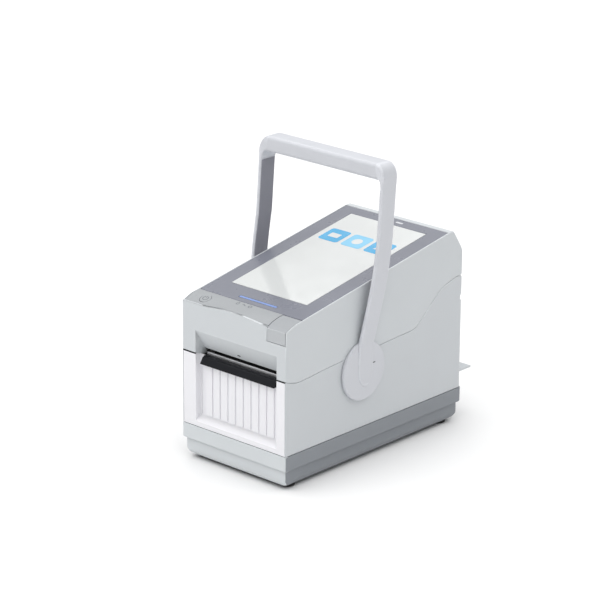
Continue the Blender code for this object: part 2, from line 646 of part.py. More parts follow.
def base_rings(inset, floor_z, top_z):
    """Rounded-rectangle sections of the base, with its step and its rounded foot edge."""
    step_z = SEAM_Z - BASE_STEP_DROP
    sections = []
    for i in range(4):
        turn = math.radians(90 * i / 3)
        rounded = max(BASE_ROUND - inset, MM)
        sections.append((BASE_STEP_INSET + rounded * (1 - math.sin(turn)),
                         floor_z + rounded * (1 - math.cos(turn))))
    sections += [(BASE_STEP_INSET, step_z + inset * 0.5), (0.0, step_z + inset * 0.5 + 0.4 * MM),
                 (0.0, top_z)]
    half = HALF + BASE_LIP - inset
    rings = []
    for shrink, z in sections:
        x = (-half + shrink, half - shrink)
        y = (FRONT - BASE_LIP + inset + shrink, REAR + BASE_LIP - inset - shrink)
        rings.append(plan_ring(x, y, z, max(3.0 * MM - inset, 0.6 * MM),
                               max(REAR_CORNER - inset, 0.6 * MM)))
    return rings


def make_base():
    shell = loft("base_shell", base_rings(0.0, FOOT_HEIGHT, SEAM_Z), parts, BASE_GREY)
    hollow = loft("cut_base_room", base_rings(WALL, FOOT_HEIGHT + WALL, SEAM_Z + 5 * MM), cutters)
    boolean(shell, hollow)
    # Finger notch in the lower edge of each long side.
    for side in (-1, 1):
        x = sorted((side * (HALF - BASE_STEP_INSET - 2.0 * MM), side * (HALF + 3 * MM)))
        notch = box("cut_base_notch", x, (FRONT + 14 * MM, FRONT + 25 * MM),
                    (0.0, FOOT_HEIGHT + 1.6 * MM), cutters)
        boolean(shell, notch)

    lid_x = HALF + BASE_LIP - WALL - GAP
    lid_y = (FRONT - BASE_LIP + WALL + GAP, REAR + BASE_LIP - WALL - GAP)
    plan_block("base_deck", (-lid_x, lid_x), lid_y, (SEAM_Z - 2.0 * MM, SEAM_Z), 0.6 * MM, 2.4 * MM,
               parts, BASE_GREY)

    pack_x = HALF - 15 * MM
    box("battery_pack", (-pack_x, pack_x), (FRONT + 22 * MM, REAR - 22 * MM),
        (FOOT_HEIGHT + WALL + GAP, SEAM_Z - 2.0 * MM - GAP), parts, BATTERY, edge=2.0 * MM)

    for side, side_name in ((-1, "left"), (1, "right")):
        for place, end_name in ((FRONT + 16 * MM, "front"), (REAR - 16 * MM, "rear")):
            rod(f"foot_{end_name}_{side_name}", "Z", (side * (HALF - 12.2 * MM), place,
                                                      (FOOT_HEIGHT - GAP) / 2),
                FOOT_RADIUS - 0.7 * MM, FOOT_HEIGHT - GAP, parts, RUBBER, sides=24,
                end_radius=FOOT_RADIUS)


# ---------------------------------------------------------------- front panel and tear bar


def make_front_panel():
    panel_x = HALF - 1.2 * MM - GAP
    top = SPLIT_Z - GAP / 2
    low = SEAM_Z + GAP
    panel = box("front_panel", (-panel_x, panel_x), (FRONT, FRONT + WALL), (low, top), parts, FRONT_WHITE)
    tray = box("join_recess_back", (RECESS_LEFT - WALL, RECESS_RIGHT + WALL),
               (FRONT + 0.2 * MM, FRONT + RECESS_DEPTH + WALL),
               (low + WALL + GAP, top - 0.4 * MM), cutters)
    boolean(panel, tray, "UNION")
    hollow = [(FRONT - MM, SEAM_Z + 5.0 * MM), (FRONT, SEAM_Z + 5.0 * MM),
              (FRONT + RECESS_DEPTH, SEAM_Z + 9.2 * MM),
              (FRONT + RECESS_DEPTH, top + MM), (FRONT - MM, top + MM)]
    boolean(panel, side_plate("cut_recess", hollow, (RECESS_LEFT, RECESS_RIGHT), cutters))
    boolean(panel, above_seam("cut_above_panel", -GAP / 2))
    window_x = (PATH_X - TEAR_WIDTH / 2 - GAP, PATH_X + TEAR_WIDTH / 2 + GAP)
    boolean(panel, box("cut_tear_window", window_x, (FRONT + RECESS_DEPTH - MM,
                                                     FRONT + RECESS_DEPTH + 9 * MM),
                       (TEAR_BOTTOM - GAP, top + MM), cutters))
    count = int((RECESS_WIDTH - 4 * MM) / RIB_PITCH) + 1
    start = PATH_X - RIB_PITCH * (count - 1) / 2
    for i in range(count):
        x = start + i * RIB_PITCH
        groove = box("cut_rib", (x - RIB_GROOVE / 2, x + RIB_GROOVE / 2),
                     (FRONT + RECESS_DEPTH - MM, FRONT + RECESS_DEPTH + RIB_HEIGHT),
                     (SEAM_Z + 10.5 * MM, top + MM), cutters)
        boolean(panel, groove)
    return panel


def make_tear_bar():
    x = (PATH_X - TEAR_WIDTH / 2, PATH_X + TEAR_WIDTH / 2)
    rear = PLATEN_Y - PLATEN_RADIUS - 1.2 * MM
    outline = [
        (FRONT + 0.8 * MM, TEAR_BOTTOM), (FRONT + 4.6 * MM, BLADE_TOP - 1.0 * MM),
        (FRONT + 10.2 * MM, BLADE_TOP - 0.4 * MM),
        (FRONT + 10.2 * MM, BLADE_TOP - 3.6 * MM), (rear, BLADE_TOP - 3.6 * MM),
        (rear, TEAR_BOTTOM + 1.0 * MM),
        (FRONT + 8.0 * MM, TEAR_BOTTOM),
    ]
    side_plate("tear_bar", outline, x, parts, BLACK, edge=0.25 * MM)
    blade = [(FRONT + 10.2 * MM + GAP, BLADE_TOP), (rear, BLADE_TOP), (rear, BLADE_TOP - 3.6 * MM + GAP),
             (FRONT + 10.2 * MM + GAP, BLADE_TOP - 3.6 * MM + GAP)]
    side_plate("tear_blade", blade, x, parts, STEEL)


# ---------------------------------------------------------------- print mechanism in the housing

def gear_outline(teeth):
    """Plain tapered teeth, as points round the origin."""
    tip = gear_tip(teeth)
    root = tip - TOOTH_DEPTH
    outline = []
    for i in range(teeth):
        for radius, share in ((root, -TOOTH_FOOT), (tip, -TOOTH_TIP), (tip, TOOTH_TIP),
                              (root, TOOTH_FOOT)):
            turn = math.tau * (i + share) / teeth
            outline.append((radius * math.cos(turn), radius * math.sin(turn)))
    return outline


def gear(name, teeth, middle, x, bore, mat):
    """Spur gear along X, with a bore."""
    half = (x[1] - x[0]) / 2
    made = side_plate(name, gear_outline(teeth), (-half, half), parts, mat,
                      place=((x[0] + x[1]) / 2, *middle))
    hole = rod("cut_" + name, "X", made.location, bore, 20 * MM, cutters, sides=20)
    return boolean(made, hole)


def make_mechanism():
    top = PLATEN_Z + 4.6 * MM
    low = SEAM_Z + 24 * MM
    for name, x0 in (("frame_plate_left", FRAME_X[0] - FRAME_THICK), ("frame_plate_right", FRAME_X[1])):
        outline = [(FRAME_Y[0], low), (FRAME_Y[1], low), (FRAME_Y[1], top - 12 * MM),
                   (PLATEN_Y + 14 * MM, top - 4 * MM),
                   (PLATEN_Y + 10 * MM, top), (FRAME_Y[0], top)]
        plate = side_plate(name, outline, (x0, x0 + FRAME_THICK), parts, ZINC)
        slot = rod("cut_bush", "X", (x0, PLATEN_Y, PLATEN_Z), BUSH_RADIUS + GAP, 9 * MM, cutters)
        boolean(plate, slot)
        if name.endswith("left"):
            boolean(plate, rod("cut_motor_nose", "X", (x0, MOTOR_Y, MOTOR_Z), 4.0 * MM, 9 * MM, cutters))
            boolean(plate, rod("cut_post", "X", (x0, IDLER_Y, IDLER_Z), POST_RADIUS + GAP, 9 * MM,
                               cutters, sides=20))
    inside = (FRAME_X[0] + GAP, FRAME_X[1] - GAP)
    box("frame_crossbar", inside, (FRAME_Y[1] - 12 * MM, FRAME_Y[1] - 2 * MM),
        (top - 17.0 * MM, top - 15.0 * MM), parts, ZINC)

    box("label_sensor", (PATH_X - 9 * MM, PATH_X + 9 * MM), (FRAME_Y[1] - 11 * MM, FRAME_Y[1] - 3 * MM),
        (top - 15.0 * MM + GAP, top - 9.5 * MM), parts, BLACK, edge=0.8 * MM)

    shaft_x = (GEAR_X[0] - 1.0 * MM, FRAME_X[1] + FRAME_THICK + 2.6 * MM)
    rod("platen_shaft", "X", (sum(shaft_x) / 2, PLATEN_Y, PLATEN_Z), SHAFT_RADIUS,
        shaft_x[1] - shaft_x[0], parts, STEEL,
        sides=24)
    roller = rod("platen_roller", "X", (PATH_X, PLATEN_Y, PLATEN_Z), PLATEN_RADIUS, MEDIA_WIDTH + 2 * MM,
                 parts, RUBBER)
    boolean(roller, rod("cut_roller", "X", roller.location, SHAFT_RADIUS + BORE_GAP, 140 * MM, cutters,
                        sides=24))
    for name, middle in (("platen_bush_left", FRAME_X[0] - FRAME_THICK / 2),
                         ("platen_bush_right", FRAME_X[1] + FRAME_THICK / 2)):
        bush = rod(name, "X", (middle, PLATEN_Y, PLATEN_Z), BUSH_RADIUS, FRAME_THICK + 1.0 * MM, parts,
                   ACETAL, sides=24)
        boolean(bush, rod("cut_" + name, "X", bush.location, SHAFT_RADIUS + BORE_GAP, 9 * MM, cutters,
                          sides=24))

    gear("platen_gear", PLATEN_TEETH, (PLATEN_Y, PLATEN_Z), GEAR_X, SHAFT_RADIUS + BORE_GAP, ACETAL)
    gear("idler_gear", IDLER_TEETH, (IDLER_Y, IDLER_Z), GEAR_X, POST_RADIUS + BORE_GAP, ACETAL)
    post_x = (GEAR_X[0] - 0.8 * MM, FRAME_X[0])
    rod("idler_post", "X", (sum(post_x) / 2, IDLER_Y, IDLER_Z), POST_RADIUS, post_x[1] - post_x[0], parts,
        STEEL, sides=20)
    gear("motor_pinion", PINION_TEETH, (MOTOR_Y, MOTOR_Z), GEAR_X, MOTOR_SHAFT + BORE_GAP, STEEL)
    body_x = (FRAME_X[0] + GAP, FRAME_X[0] + 30 * MM)
    motor = box("stepper_motor", body_x, (MOTOR_Y - MOTOR_HALF, MOTOR_Y + MOTOR_HALF),
                (MOTOR_Z - MOTOR_HALF, MOTOR_Z + MOTOR_HALF), parts, BLACK, edge=2.5 * MM)
    nose = rod("join_motor_nose", "X", (FRAME_X[0] - 0.5 * MM, MOTOR_Y, MOTOR_Z), 3.4 * MM, 3.0 * MM,
               cutters, sides=24)
    boolean(motor, nose, "UNION")
    spindle_x = (GEAR_X[0] - 0.6 * MM, FRAME_X[0])
    spindle = rod("join_motor_shaft", "X", (sum(spindle_x) / 2, MOTOR_Y, MOTOR_Z), MOTOR_SHAFT,
                  spindle_x[1] - spindle_x[0],
                  cutters, sides=16)
    boolean(motor, spindle, "UNION")


# ---------------------------------------------------------------- media bay, guides and boards

def make_tray():
    y0, y1 = TRAY_Y
    outer = [(y0, SEAM_Z + 44 * MM), (y0 + 9 * MM, TRAY_Z + 10 * MM), (y0 + 19 * MM, TRAY_Z),
             (y1 - 16 * MM, TRAY_Z),
             (y1 - 5 * MM, TRAY_Z + 9 * MM), (y1, SEAM_Z + 50 * MM)]
    inner = [(y0 + TRAY_WALL, SEAM_Z + 44 * MM), (y0 + 9 * MM + TRAY_WALL, TRAY_Z + 10.6 * MM),
             (y0 + 19.6 * MM, TRAY_Z + TRAY_WALL), (y1 - 16.6 * MM, TRAY_Z + TRAY_WALL),
             (y1 - 5 * MM - TRAY_WALL, TRAY_Z + 9.6 * MM), (y1 - TRAY_WALL, SEAM_Z + 50 * MM)]
    tray = side_plate("media_tray", outer + inner[::-1], (-TRAY_X, TRAY_X), parts, BLACK)
    for side, y in ((-1, RACK_Y - RACK_OFFSET - 2 * MM), (1, RACK_Y + RACK_OFFSET + 2 * MM)):
        reach = PATH_X + side * (MEDIA_WIDTH / 2 + 1 * MM + 4.2 * MM)
        x = sorted((reach, PATH_X + side * (MEDIA_WIDTH / 2 - GUIDE_TRAVEL - 3 * MM)))
        boolean(tray, box("cut_guide_slot", x, (y - 2.6 * MM, y + 2.6 * MM),
                          (TRAY_Z - MM, TRAY_Z + 5 * MM), cutters))
    inlet = (PATH_X - INLET_WIDTH / 2, PATH_X + INLET_WIDTH / 2)
    boolean(tray, box("cut_tray_inlet", inlet, (y1 - 14 * MM, y1 + MM), (INLET_Z, INLET_Z + INLET_HEIGHT),
                      cutters))


def make_guides():
    for side, name in ((-1, "media_guide_left"), (1, "media_guide_right")):
        face = PATH_X + side * (MEDIA_WIDTH / 2 + 1 * MM)
        plate_x = sorted((face, face + side * 2.4 * MM))
        low = TRAY_Z + TRAY_WALL + GAP
        y0, y1 = TRAY_Y[0] + 26 * MM, TRAY_Y[1] - 26 * MM
        outline = [(y0, low), (y1, low), (y1, low + 22 * MM)]
        outline += arc(((y0 + y1) / 2 + 8 * MM, low + 30 * MM), 18 * MM, 0, 180, 8)
        outline += [(y0 + 8 * MM, low + 14 * MM), (y0, low + 6 * MM)]
        guide = side_plate(name, outline, (-1.2 * MM, 1.2 * MM), parts, BODY_GREY,
                           place=(sum(plate_x) / 2, 0, 0))
        rack_y = RACK_Y + side * (RACK_OFFSET + 2.0 * MM)
        stem = box("join_stem", plate_x, (rack_y - 2 * MM, rack_y + 2 * MM), (RACK_Z[0], low + 2 * MM),
                   cutters)
        boolean(guide, stem, "UNION")
        bar_x = sorted((plate_x[0] if side < 0 else plate_x[1], PATH_X - side * 8 * MM))
        bar = box("join_rack", bar_x, (rack_y - 2 * MM, rack_y + 2 * MM), RACK_Z, cutters)
        boolean(guide, bar, "UNION")
    half = (RACK_Z[1] - RACK_Z[0]) / 2
    pinion = side_plate("guide_pinion", gear_outline(GUIDE_TEETH), (-half, half), parts, ACETAL)
    pinion.rotation_euler = (0, math.radians(-90), 0)
    pinion.location = (PATH_X, RACK_Y, sum(RACK_Z) / 2)


def make_boards():
    top = SEAM_Z + GAP + WALL
    board = box("main_board", (-50 * MM, 50 * MM), (FRONT + 72 * MM, REAR - 14 * MM),
                (top + 0.8 * MM, top + 2.4 * MM), parts,
                BOARD)
    for i in range(5):
        x = (-44 + 18 * i) * MM
        chip = box("join_chip", (x, x + 9 * MM), (FRONT + 78 * MM, FRONT + 92 * MM),
                   (top + 2.0 * MM, top + 3.6 * MM), cutters)
        boolean(board, chip, "UNION")
    block = box("port_block", PORT_X, (REAR - 7.6 * MM, REAR - 0.4 * MM), PORT_Z, parts, BLACK)
    sockets = ((PORT_X[0] + 2.5 * MM, 14 * MM, 11 * MM), (PORT_X[0] + 19.5 * MM, 12.2 * MM, 5.6 * MM))
    for x, wide, high in sockets:
        middle = sum(PORT_Z) / 2
        hole = box("cut_socket", (x, x + wide), (REAR - 6.2 * MM, REAR + MM),
                   (middle - high / 2, middle + high / 2), cutters)
        boolean(block, hole)
    inlet = rod("dc_inlet", "Y", (DC_X, REAR - 4.4 * MM, DC_Z), DC_RADIUS, 8.0 * MM, parts, BLACK)
    boolean(inlet, rod("cut_dc_hole", "Y", (DC_X, REAR, DC_Z), DC_RADIUS - 1.6 * MM, 12 * MM, cutters))
    boolean(inlet, rod("join_dc_pin", "Y", (DC_X, REAR - 4.6 * MM, DC_Z), 0.9 * MM, 6.6 * MM, cutters,
                       sides=16), "UNION")

    plate_x = GUIDE_EAR_X[1] + 1.2 * MM
    inner = GUIDE_EAR_X[0] - GAP
    plate = box("rear_guide_plate", (-inner, inner), (GUIDE_AXIS_Y - 1.4 * MM, REAR + GUIDE_REACH),
                (GUIDE_AXIS_Z - GUIDE_THICK / 2, GUIDE_AXIS_Z + GUIDE_THICK / 2), parts, BODY_GREY)
    wide = box("join_guide_wing", (-plate_x, plate_x), (GUIDE_AXIS_Y + 3.4 * MM, REAR + GUIDE_REACH),
               (GUIDE_AXIS_Z - GUIDE_THICK / 2, GUIDE_AXIS_Z + GUIDE_THICK / 2), cutters)
    boolean(plate, wide, "UNION")
    for side in (-1, 1):
        pin_x = sorted((side * (inner - 2 * MM), side * (GUIDE_EAR_X[1] - 0.6 * MM)))
        pin = rod("join_guide_pin", "X", (sum(pin_x) / 2, GUIDE_AXIS_Y, GUIDE_AXIS_Z), GUIDE_PIN,
                  pin_x[1] - pin_x[0], cutters,
                  sides=16)
        boolean(plate, pin, "UNION")


# ---------------------------------------------------------------- cover internals


def make_strip():
    seat_x = BEZEL_WIDTH / 2
    strip = strip_sheet("control_strip", (-seat_x, LEVER_LEFT - 2 * GAP),
                        (FRONT + WALL + GAP, BEZEL_Y - GAP), 0.0, STRIP_THICK,
                        parts, STRIP_GREY)
    boolean(strip, rod("cut_button", "Z", (BUTTON_X, BUTTON_Y, FACE_Z), BUTTON_RADIUS + GAP, 40 * MM,
                       cutters))
    height = strip_height(BUTTON_X, BUTTON_Y)
    reach = BUTTON_RADIUS * 0.8
    rise = strip_height(BUTTON_X, BUTTON_Y + reach) - strip_height(BUTTON_X, BUTTON_Y - reach)
    slope = rise / (2 * reach)
    button = rod("power_button", "Z", (BUTTON_X, BUTTON_Y, height - 1.9 * MM), BUTTON_RADIUS, 6.0 * MM,
                 parts, STRIP_GREY)
    for vert in button.data.vertices:
        if vert.co.z > 0:
            vert.co.z = 1.9 * MM + slope * vert.co.y

    lever_x = (LEVER_LEFT, seat_x)
    lever = strip_sheet("release_lever", lever_x, (FRONT + 0.2 * MM, BEZEL_Y - 2 * GAP), 0.0, STRIP_THICK,
                        parts, STRIP_GREY, 6, 6)
    lip = box("join_lever_lip", lever_x, (FRONT + 0.2 * MM, FRONT + 2.6 * MM),
              (LEVER_BOTTOM, FACE_Z - 0.6 * MM), cutters)
    boolean(lever, lip, "UNION")
    eye = (sum(LEVER_RIB_X) / 2, LEVER_AXIS_Y, LEVER_AXIS_Z)
    boolean(lever, side_plate("join_lever_eye", arc(eye[1:], 2.2 * MM, 0, 360, 16)[:-1], LEVER_RIB_X,
                              cutters), "UNION")
    boolean(lever, rod("cut_lever_pin", "X", eye, LEVER_PIN + BORE_GAP, 30 * MM, cutters, sides=16))
    rod("lever_pin", "X", eye, LEVER_PIN, 8.4 * MM, parts, STEEL, sides=16)


def make_latch():
    shaft_x = (-HALF + WALL + MM, HALF - WALL - MM)
    shaft = rod("latch_bar", "X", (sum(shaft_x) / 2, LATCH_Y, LATCH_Z), LATCH_RADIUS,
                shaft_x[1] - shaft_x[0], parts, ZINC, sides=16)
    tip = SPLIT_Z - 2 * MM
    hook = [(LATCH_Y - 2.4 * MM, LATCH_Z + 2.2 * MM), (LATCH_Y - 2.4 * MM, tip + 6 * MM),
            (LATCH_Y - 5.4 * MM, tip + 5 * MM),
            (LATCH_Y - 5.4 * MM, tip + 2 * MM), (LATCH_Y - 2.0 * MM, tip),
            (LATCH_Y + 2.4 * MM, tip + 3 * MM),
            (LATCH_Y + 2.4 * MM, LATCH_Z + 2.2 * MM)]
    for x in (HOOK_X, (FRAME_X[1] + 4.6 * MM, FRAME_X[1] + 7.0 * MM)):
        boolean(shaft, side_plate("join_hook", hook, x, cutters), "UNION")


def make_head():
    carrier_z = CREASE_Z - 1.0 * MM
    y = (FRONT + 31 * MM, FRONT + 60 * MM)
    carrier_x = HALF - WALL - GAP
    outline = [(y[0], carrier_z), (y[1], carrier_z), (y[1], carrier_z + CARRIER_THICK),
               (y[0], carrier_z + CARRIER_THICK)]
    carrier = side_plate("head_carrier", outline, (-carrier_x, carrier_x), parts, BLACK)
    for x0 in (HEAD_X[0] - 4.0 * MM, HEAD_X[1] + 1.6 * MM):
        cheek = [(HEAD_AXIS_Y - 5 * MM, carrier_z + MM), (HEAD_AXIS_Y - 5 * MM, HEAD_AXIS_Z)]
        cheek += arc((HEAD_AXIS_Y, HEAD_AXIS_Z), 5 * MM, 180, 360,
                     8)[1:] + [(HEAD_AXIS_Y + 5 * MM, carrier_z + MM)]
        boolean(carrier, side_plate("join_cheek", cheek, (x0, x0 + 2.4 * MM), cutters), "UNION")
    boolean(carrier, rod("cut_head_axis", "X", (PATH_X, HEAD_AXIS_Y, HEAD_AXIS_Z), HEAD_PIVOT + BORE_GAP,
                         130 * MM, cutters,
                         sides=20))
    rod("head_pivot", "X", (PATH_X, HEAD_AXIS_Y, HEAD_AXIS_Z), HEAD_PIVOT, HEAD_X[1] - HEAD_X[0] + 9 * MM,
        parts, STEEL, sides=20)

    head_low = PLATEN_Z + PLATEN_RADIUS + GAP
    front = PLATEN_Y - 6.5 * MM
    bracket = [(front, head_low + 6.3 * MM), (FRONT + 40 * MM, head_low + 6.3 * MM),
               (HEAD_AXIS_Y + 3 * MM, HEAD_AXIS_Z - 3 * MM),
               (HEAD_AXIS_Y + 3 * MM, HEAD_AXIS_Z + 3 * MM), (HEAD_AXIS_Y - 4 * MM, HEAD_AXIS_Z + 3 * MM),
               (FRONT + 40 * MM, head_low + 8.3 * MM), (front, head_low + 8.3 * MM)]
    holder = side_plate("head_bracket", bracket, HEAD_X, parts, ZINC)
    boolean(holder, rod("cut_bracket_axis", "X", (PATH_X, HEAD_AXIS_Y, HEAD_AXIS_Z),
                        HEAD_PIVOT + BORE_GAP, 130 * MM, cutters,
                        sides=20))
    sink = [(front, head_low + 1.2 * MM), (PLATEN_Y - 1.5 * MM, head_low),
            (PLATEN_Y + 1.5 * MM, head_low),
            (FRONT + 38 * MM, head_low + 1.6 * MM), (FRONT + 38 * MM, head_low + 6.0 * MM),
            (front, head_low + 6.0 * MM)]
    side_plate("print_head", sink, (PATH_X - MEDIA_WIDTH / 2 - MM, PATH_X + MEDIA_WIDTH / 2 + MM), parts,
               ALUMINIUM)

    low = head_low + 8.3 * MM + GAP
    for name, x in (("head_spring_left", PATH_X - 26 * MM), ("head_spring_right", PATH_X + 26 * MM)):
        coil_spring(name, (x, FRONT + 34.5 * MM, low + 0.4 * MM), carrier_z - GAP - low - 0.8 * MM,
                    3.0 * MM, 0.4 * MM, 4)


def coil_spring(name, foot, height, radius, wire, turns):
    curve = bpy.data.curves.new(name, "CURVE")
    curve.dimensions = "3D"
    curve.bevel_depth = wire
    curve.bevel_resolution = 0
    curve.use_fill_caps = True
    spline = curve.splines.new("POLY")
    steps = turns * 12
    spline.points.add(steps)
    for i, point in enumerate(spline.points):
        a = math.tau * turns * i / steps
        point.co = (radius * math.cos(a), radius * math.sin(a), height * i / steps, 1.0)
    made = bpy.data.objects.new(name, curve)
    parts.objects.link(made)
    made.location = foot
    curve.materials.append(STEEL)
    return made


def make_display():
    half = BEZEL_WIDTH / 2
    rings = [plan_ring((-half, half), (0.0, BEZEL_LENGTH), z, BEZEL_CORNER, BEZEL_CORNER,
                       5) for z in (-BEZEL_THICK, 0.0)]
    bezel = loft("display_bezel", rings, parts, BEZEL_GREY)
    window = box("cut_window", (-SCREEN_WIDTH / 2 - GAP, SCREEN_WIDTH / 2 + GAP),
                 (SCREEN_START - GAP, SCREEN_START + SCREEN_LENGTH + GAP), (-9 * MM, 5 * MM), cutters)
    boolean(bezel, tilted(window))
    light_x = (PATH_X - LIGHT_LENGTH / 2, PATH_X + LIGHT_LENGTH / 2)
    light_y = (LIGHT_START, LIGHT_START + LIGHT_WIDTH)
    light = box("cut_light", (light_x[0] - GAP, light_x[1] + GAP), (light_y[0] - GAP, light_y[1] + GAP),
                (-9 * MM, 5 * MM), cutters)
    boolean(bezel, tilted(light))
    tilted(bezel)
    tilted(box("status_light_bar", light_x, light_y, (-2.6 * MM, -0.1 * MM), parts, LIGHT))
    tilted(box("screen_glass", (-SCREEN_WIDTH / 2, SCREEN_WIDTH / 2),
               (SCREEN_START, SCREEN_START + SCREEN_LENGTH),
               (-2.2 * MM, -0.05 * MM), parts, SCREEN_WHITE))
    under = -BEZEL_THICK - GAP
    lcd_x = SCREEN_WIDTH / 2 + 6 * MM
    tilted(box("lcd_panel", (-lcd_x, lcd_x), (SCREEN_START - 7 * MM,
                                              SCREEN_START + SCREEN_LENGTH + 5 * MM),
               (under - 3.4 * MM, under), parts, ZINC))
    board = box("display_board", (-36 * MM, 36 * MM), (48 * MM, 142 * MM),
                (under - 6.4 * MM, under - 4.8 * MM), parts, BOARD)
    tilted(board)
    chassis_x = HALF - WALL - GAP
    chassis = box("display_chassis", (-chassis_x, chassis_x), (10 * MM, BEZEL_LENGTH - 8 * MM),
                  (under - 9.6 * MM, under - 8.2 * MM),
                  parts, ZINC)
    tilted(chassis)
    liner = box("cover_liner", (-chassis_x, chassis_x), (38 * MM, BEZEL_LENGTH - 12 * MM),
                (under - 13.4 * MM, under - 11.6 * MM),
                parts, BLACK)
    tilted(liner)


def make_hinge_pins():
    for side, name in ((-1, "hinge_pin_left"), (1, "hinge_pin_right")):
        x = sorted((side * COVER_LUG_X[0], side * HOUSING_LUG_X[1]))
        rod(name, "X", (sum(x) / 2, HINGE_Y, HINGE_Z), HINGE_PIN, x[1] - x[0], parts, STEEL, sides=20)


# ---------------------------------------------------------------- handle


def arm_outer(z):
    """Distance of the arm's outer face from the middle, splaying out above the boss."""
    low, high = PIVOT_Z + 8 * MM, PIVOT_Z + 92 * MM
    flush = HALF + GAP + BOSS_THICK + 0.8 * MM
    return flush + (HANDLE_OUTER - flush) * smooth_step(low, high, z) ** 0.8


def arm_middle(z):
    """Middle of the arm's depth: upright at the boss, then leaning back, then nearly upright again."""
    foot = PIVOT_Z + 25 * MM
    bend = PIVOT_Z + 110 * MM
    lean = 0.175 * (min(max(z, foot), bend) - foot)
    return PIVOT_Y + 1.4 * MM + lean + 0.075 * max(0.0, z - bend)


def strip_ring(outer, inner, middle_y, depth):
    """Chamfered section of the handle between the (x, z) pairs outer and inner."""
    run = Vector((inner[0] - outer[0], 0, inner[1] - outer[1])).normalized() * ARM_EDGE
    back = Vector((0, ARM_EDGE, 0))
    y0, y1 = middle_y - depth / 2, middle_y + depth / 2
    out_front, out_rear = Vector((outer[0], y0, outer[1])), Vector((outer[0], y1, outer[1]))
    in_front, in_rear = Vector((inner[0], y0, inner[1])), Vector((inner[0], y1, inner[1]))
    return [out_front + back, out_rear - back, out_rear + run, in_rear - run, in_rear - back,
            in_front + back,
            in_front - run, out_front + run]


def arm_ring(z, depth=None):
    outer = arm_outer(z)
    return strip_ring((outer, z), (outer - ARM_THICK, z), arm_middle(z),
                      ARM_DEPTH if depth is None else depth)


def handle_rings():
    """Sections of the right half: the rounded lower end, the arm, the corner and half the bar."""
    rings = []
    for i in range(5):
        a = math.radians(15 + 75 * i / 4)
        rings.append(arm_ring(PIVOT_Z - 14 * MM * math.cos(a) - 0.2 * MM, ARM_DEPTH * math.sin(a)))
    for rise in (14, 26, 38, 50, 62, 74, 90, 102, 110, 118, 132):
        rings.append(arm_ring(PIVOT_Z + rise * MM))
    wide, tall = 10 * MM, 14 * MM
    inner_wide, inner_tall = 4 * MM, 7 * MM
    outer_z = HANDLE_TOP - tall
    inner_z = HANDLE_TOP - BAR_HEIGHT - inner_tall
    rings.append(arm_ring(inner_z - 4 * MM))
    for i in range(1, 7):
        a = math.radians(90 * i / 6)
        outer = (HANDLE_OUTER - wide * (1 - math.cos(a)), outer_z + tall * math.sin(a))
        inner = (HANDLE_OUTER - ARM_THICK - inner_wide * (1 - math.cos(a)),
                 inner_z + inner_tall * math.sin(a))
        rings.append(strip_ring(outer, inner, arm_middle(outer[1]), ARM_DEPTH))
    rings.append(strip_ring((0.0, HANDLE_TOP), (0.0, HANDLE_TOP - BAR_HEIGHT), arm_middle(HANDLE_TOP),
                            ARM_DEPTH))
    return rings


def make_handle():
    rings = handle_rings()
    left = [[Vector((-p.x, p.y, p.z)) for p in ring] for ring in rings[:-1]]
    frame = loft("handle_frame", rings + left[::-1], parts, HANDLE_GREY)
    for side in (-1, 1):
        x = side * (HALF + GAP + BOSS_THICK / 2)
        boss = rod("join_boss", "X", (x, PIVOT_Y, PIVOT_Z), BOSS_RADIUS, BOSS_THICK, cutters, sides=64,
                   edge=0.7 * MM)
        boolean(frame, boss, "UNION")
        inner = sorted((side * (HALF - 9 * MM), side * (HALF + GAP)))
        flush = box("cut_behind_boss", inner, (PIVOT_Y - 60 * MM, PIVOT_Y + 60 * MM),
                    (PIVOT_Z - 40 * MM, PIVOT_Z + 60 * MM), cutters)
        boolean(frame, flush)
        boolean(frame, rod("cut_bolt", "X", (side * HALF, PIVOT_Y, PIVOT_Z), BOLT_RADIUS + GAP, 6.0 * MM,
                           cutters))

    for side, name in ((-1, "handle_liner_left"), (1, "handle_liner_right")):
        rows = []
        for rise in (62, 74, 90, 102, 110, 118, 132, 150):
            z = PIVOT_Z + rise * MM
            x = arm_outer(z) - ARM_THICK - GAP
            near, far = arm_middle(z) - ARM_DEPTH / 2 + MM, arm_middle(z) + ARM_DEPTH / 2 - MM
            ring = [(x, near), (x, far), (x - LINER_THICK, far - 0.4 * MM),
                    (x - LINER_THICK, near + 0.4 * MM)]
            rows.append([Vector((side * u, v, z)) for u, v in ring])
        loft(name, rows, parts, LINER_GREY)

    for side, name in ((-1, "pivot_bolt_left"), (1, "pivot_bolt_right")):
        shank = (HALF - WALL - GAP - BOLT_HEAD, HALF + 2.4 * MM)
        bolt = rod(name, "X", (side * sum(shank) / 2, PIVOT_Y, PIVOT_Z), BOLT_RADIUS, shank[1] - shank[0],
                   parts, STEEL)
        head = (shank[0], HALF - WALL - GAP)
        boolean(bolt, rod("join_bolt_head", "X", (side * sum(head) / 2, PIVOT_Y, PIVOT_Z),
                          BOLT_RADIUS * 2.2, head[1] - head[0],
                          cutters), "UNION")


make_base()
make_housing()
make_front_panel()
make_tear_bar()
make_mechanism()
make_tray()
make_guides()
make_boards()
make_cover()
make_strip()
make_latch()
make_head()
make_display()
make_hinge_pins()
make_handle()
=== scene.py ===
"""Looks of a desktop label printer: moulded shells, a glass display, a carry handle and a ribbed front."""

import json
import math

import bmesh
import bpy
from mathutils import Euler, Matrix, Vector
from mathutils.bvhtree import BVHTree


